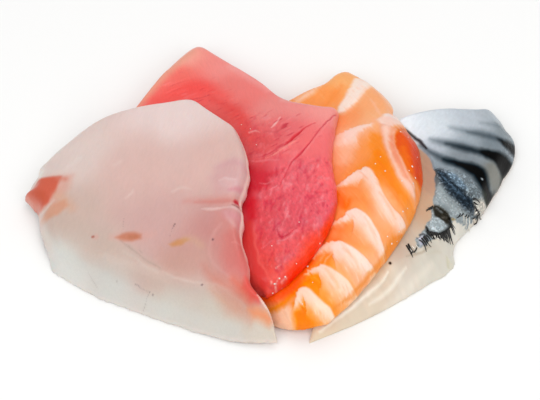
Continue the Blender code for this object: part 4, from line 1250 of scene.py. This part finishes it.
def growHairs(name, piece, surface, rows, code, seed):
    # short tapering fibres that lie along the slice, in rows
    solid = solidOf(piece)
    draw = np.random.default_rng(seed)
    strands = bpy.data.curves.new(name, "CURVE")
    strands.dimensions = "3D"
    strands.bevel_depth = mm
    strands.bevel_resolution = 1
    strands.use_fill_caps = True
    for startX, startY, endX, endY, count, reachX, reachY, thickness in rows:
        for index in range(count):
            share = (index + draw.uniform(*fibre["spacing"])) / count
            root = np.array([startX + (endX - startX) * share, startY + (endY - startY) * share])
            reach = np.array([reachX, reachY]) * draw.uniform(*fibre["reachSpread"])
            bend = np.array([-reach[1], reach[0]]) * draw.uniform(*fibre["bendSpread"])
            spline = strands.splines.new("POLY")
            spline.points.add(fibre["points"] - 1)
            for point, t in zip(spline.points, np.linspace(0.0, 1.0, fibre["points"])):
                x, y = root + reach * t + bend * t * (1.0 - t) * 2.0
                spot = Vector((x, y, 0.0)) * mm + Vector(surface["middle"])
                hit = underneath(solid, spot)[0]
                height = hit.z if hit else spot.z + 0.2 * mm
                point.co = (spot.x, spot.y, height + (0.3 + 0.5 * t) * thickness * mm, 1.0)
                point.radius = thickness * (0.7 + 1.2 * t * (1.0 - t)) * (1.0 - 0.7 * t * t)
    hairs = placed(name, strands)
    mesh = bpy.data.meshes.new_from_object(hairs.evaluated_get(bpy.context.evaluated_depsgraph_get()))
    bpy.data.objects.remove(hairs)
    finished = placed(name, mesh)
    mesh.materials.clear()
    mesh.materials.append(speckledFinish(name, code, 1.2, 0.7, 1.35, **mackerel["hairFinish"]))
    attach(finished, "root")


# beads: tiny glossy drops of juice on the flesh, painted near white as glints

beads = {
    "salmon_slice": [   # x, y, radius
        (16, -1.5, 0.26), (16.6, -4, 0.22), (15.2, -3, 0.16), (16, -6, 0.18), (9.5, -12, 0.16),
        (11, -19.5, 0.22), (10, -19, 0.16), (12.2, -18.4, 0.14), (10, -3, 0.2), (13.5, -6, 0.16),
        (7, -4, 0.14), (8, -0.5, 0.18), (9.2, 1.4, 0.14), (-4.5, -21, 0.2), (-7, -24.5, 0.22),
        (13.5, -13, 0.2), (14.6, -11.6, 0.14), (14, 9.2, 0.18), (15.6, 8, 0.14), (-6, -28.4, 0.14),
        (-8.2, -33.2, 0.14), (12.6, -17, 0.16), (17.4, 2.6, 0.14),
    ],
    "tuna_slice": [
        (15.4, -22.6, 0.13), (9.6, -27.4, 0.13), (10.2, -35.4, 0.24), (11.2, -34.6, 0.2), (9.8, -36.2, 0.2),
        (12.4, -34.2, 0.18), (17.6, -30, 0.22), (19.8, -27, 0.16), (14.8, -31.8, 0.13), (4.8, 5.6, 0.13),
        (2.8, 7.4, 0.13), (6.2, 0.4, 0.13),
    ],
    # the near-white tone is a painted glint, on top of the drops' real gloss
    "tone": "fff0e6",
    "flatness": 0.55,
    "finish": {"roughness": 0.08, "coat": 0.6, "scatter": 0.3, "shine": 0.6},
}


def makeBeads(name, piece, node):
    solid = solidOf(piece)
    low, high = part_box(node)
    middle = (Vector(low) + Vector(high)) / 2
    drops = bmesh.new()
    for x, y, radius in beads[node]:
        spot, normal = underneath(solid, middle + Vector((x, y, 0.0)) * mm)
        if spot is None:
            continue
        drop = bmesh.ops.create_icosphere(drops, subdivisions=2, radius=radius * mm)["verts"]
        flat = Matrix.Diagonal((1.0, 1.0, beads["flatness"], 1.0))
        turn = normal.to_track_quat("Z", "Y").to_matrix().to_4x4()
        bmesh.ops.transform(drops, matrix=Matrix.Translation(spot) @ turn @ flat, verts=drop)
    mesh = bpy.data.meshes.new(name)
    drops.to_mesh(mesh)
    drops.free()
    mesh.polygons.foreach_set("use_smooth", np.ones(len(mesh.polygons), dtype=bool))
    item = placed(name, mesh)
    mesh.materials.append(speckledFinish(name, beads["tone"], 1.5, 0.85, 1.05, **beads["finish"]))
    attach(item, "root")


setUpStudio()
makeFloor()
print("studio ready")
whiteFishSlice = makeWhiteFish()
tunaSlice = makeTuna([whiteFishSlice])
salmonSlice = makeSalmon([tunaSlice, whiteFishSlice])
mackerelSlice = makeMackerel([salmonSlice])
for item in (whiteFishSlice, tunaSlice, salmonSlice, mackerelSlice):
    print(item.name, "has", sum(len(face.vertices) - 2 for face in item.data.polygons), "triangles")
makeBeads("salmon_beads", salmonSlice, "salmon_slice")
makeBeads("tuna_beads", tunaSlice, "tuna_slice")
print("beads ready")
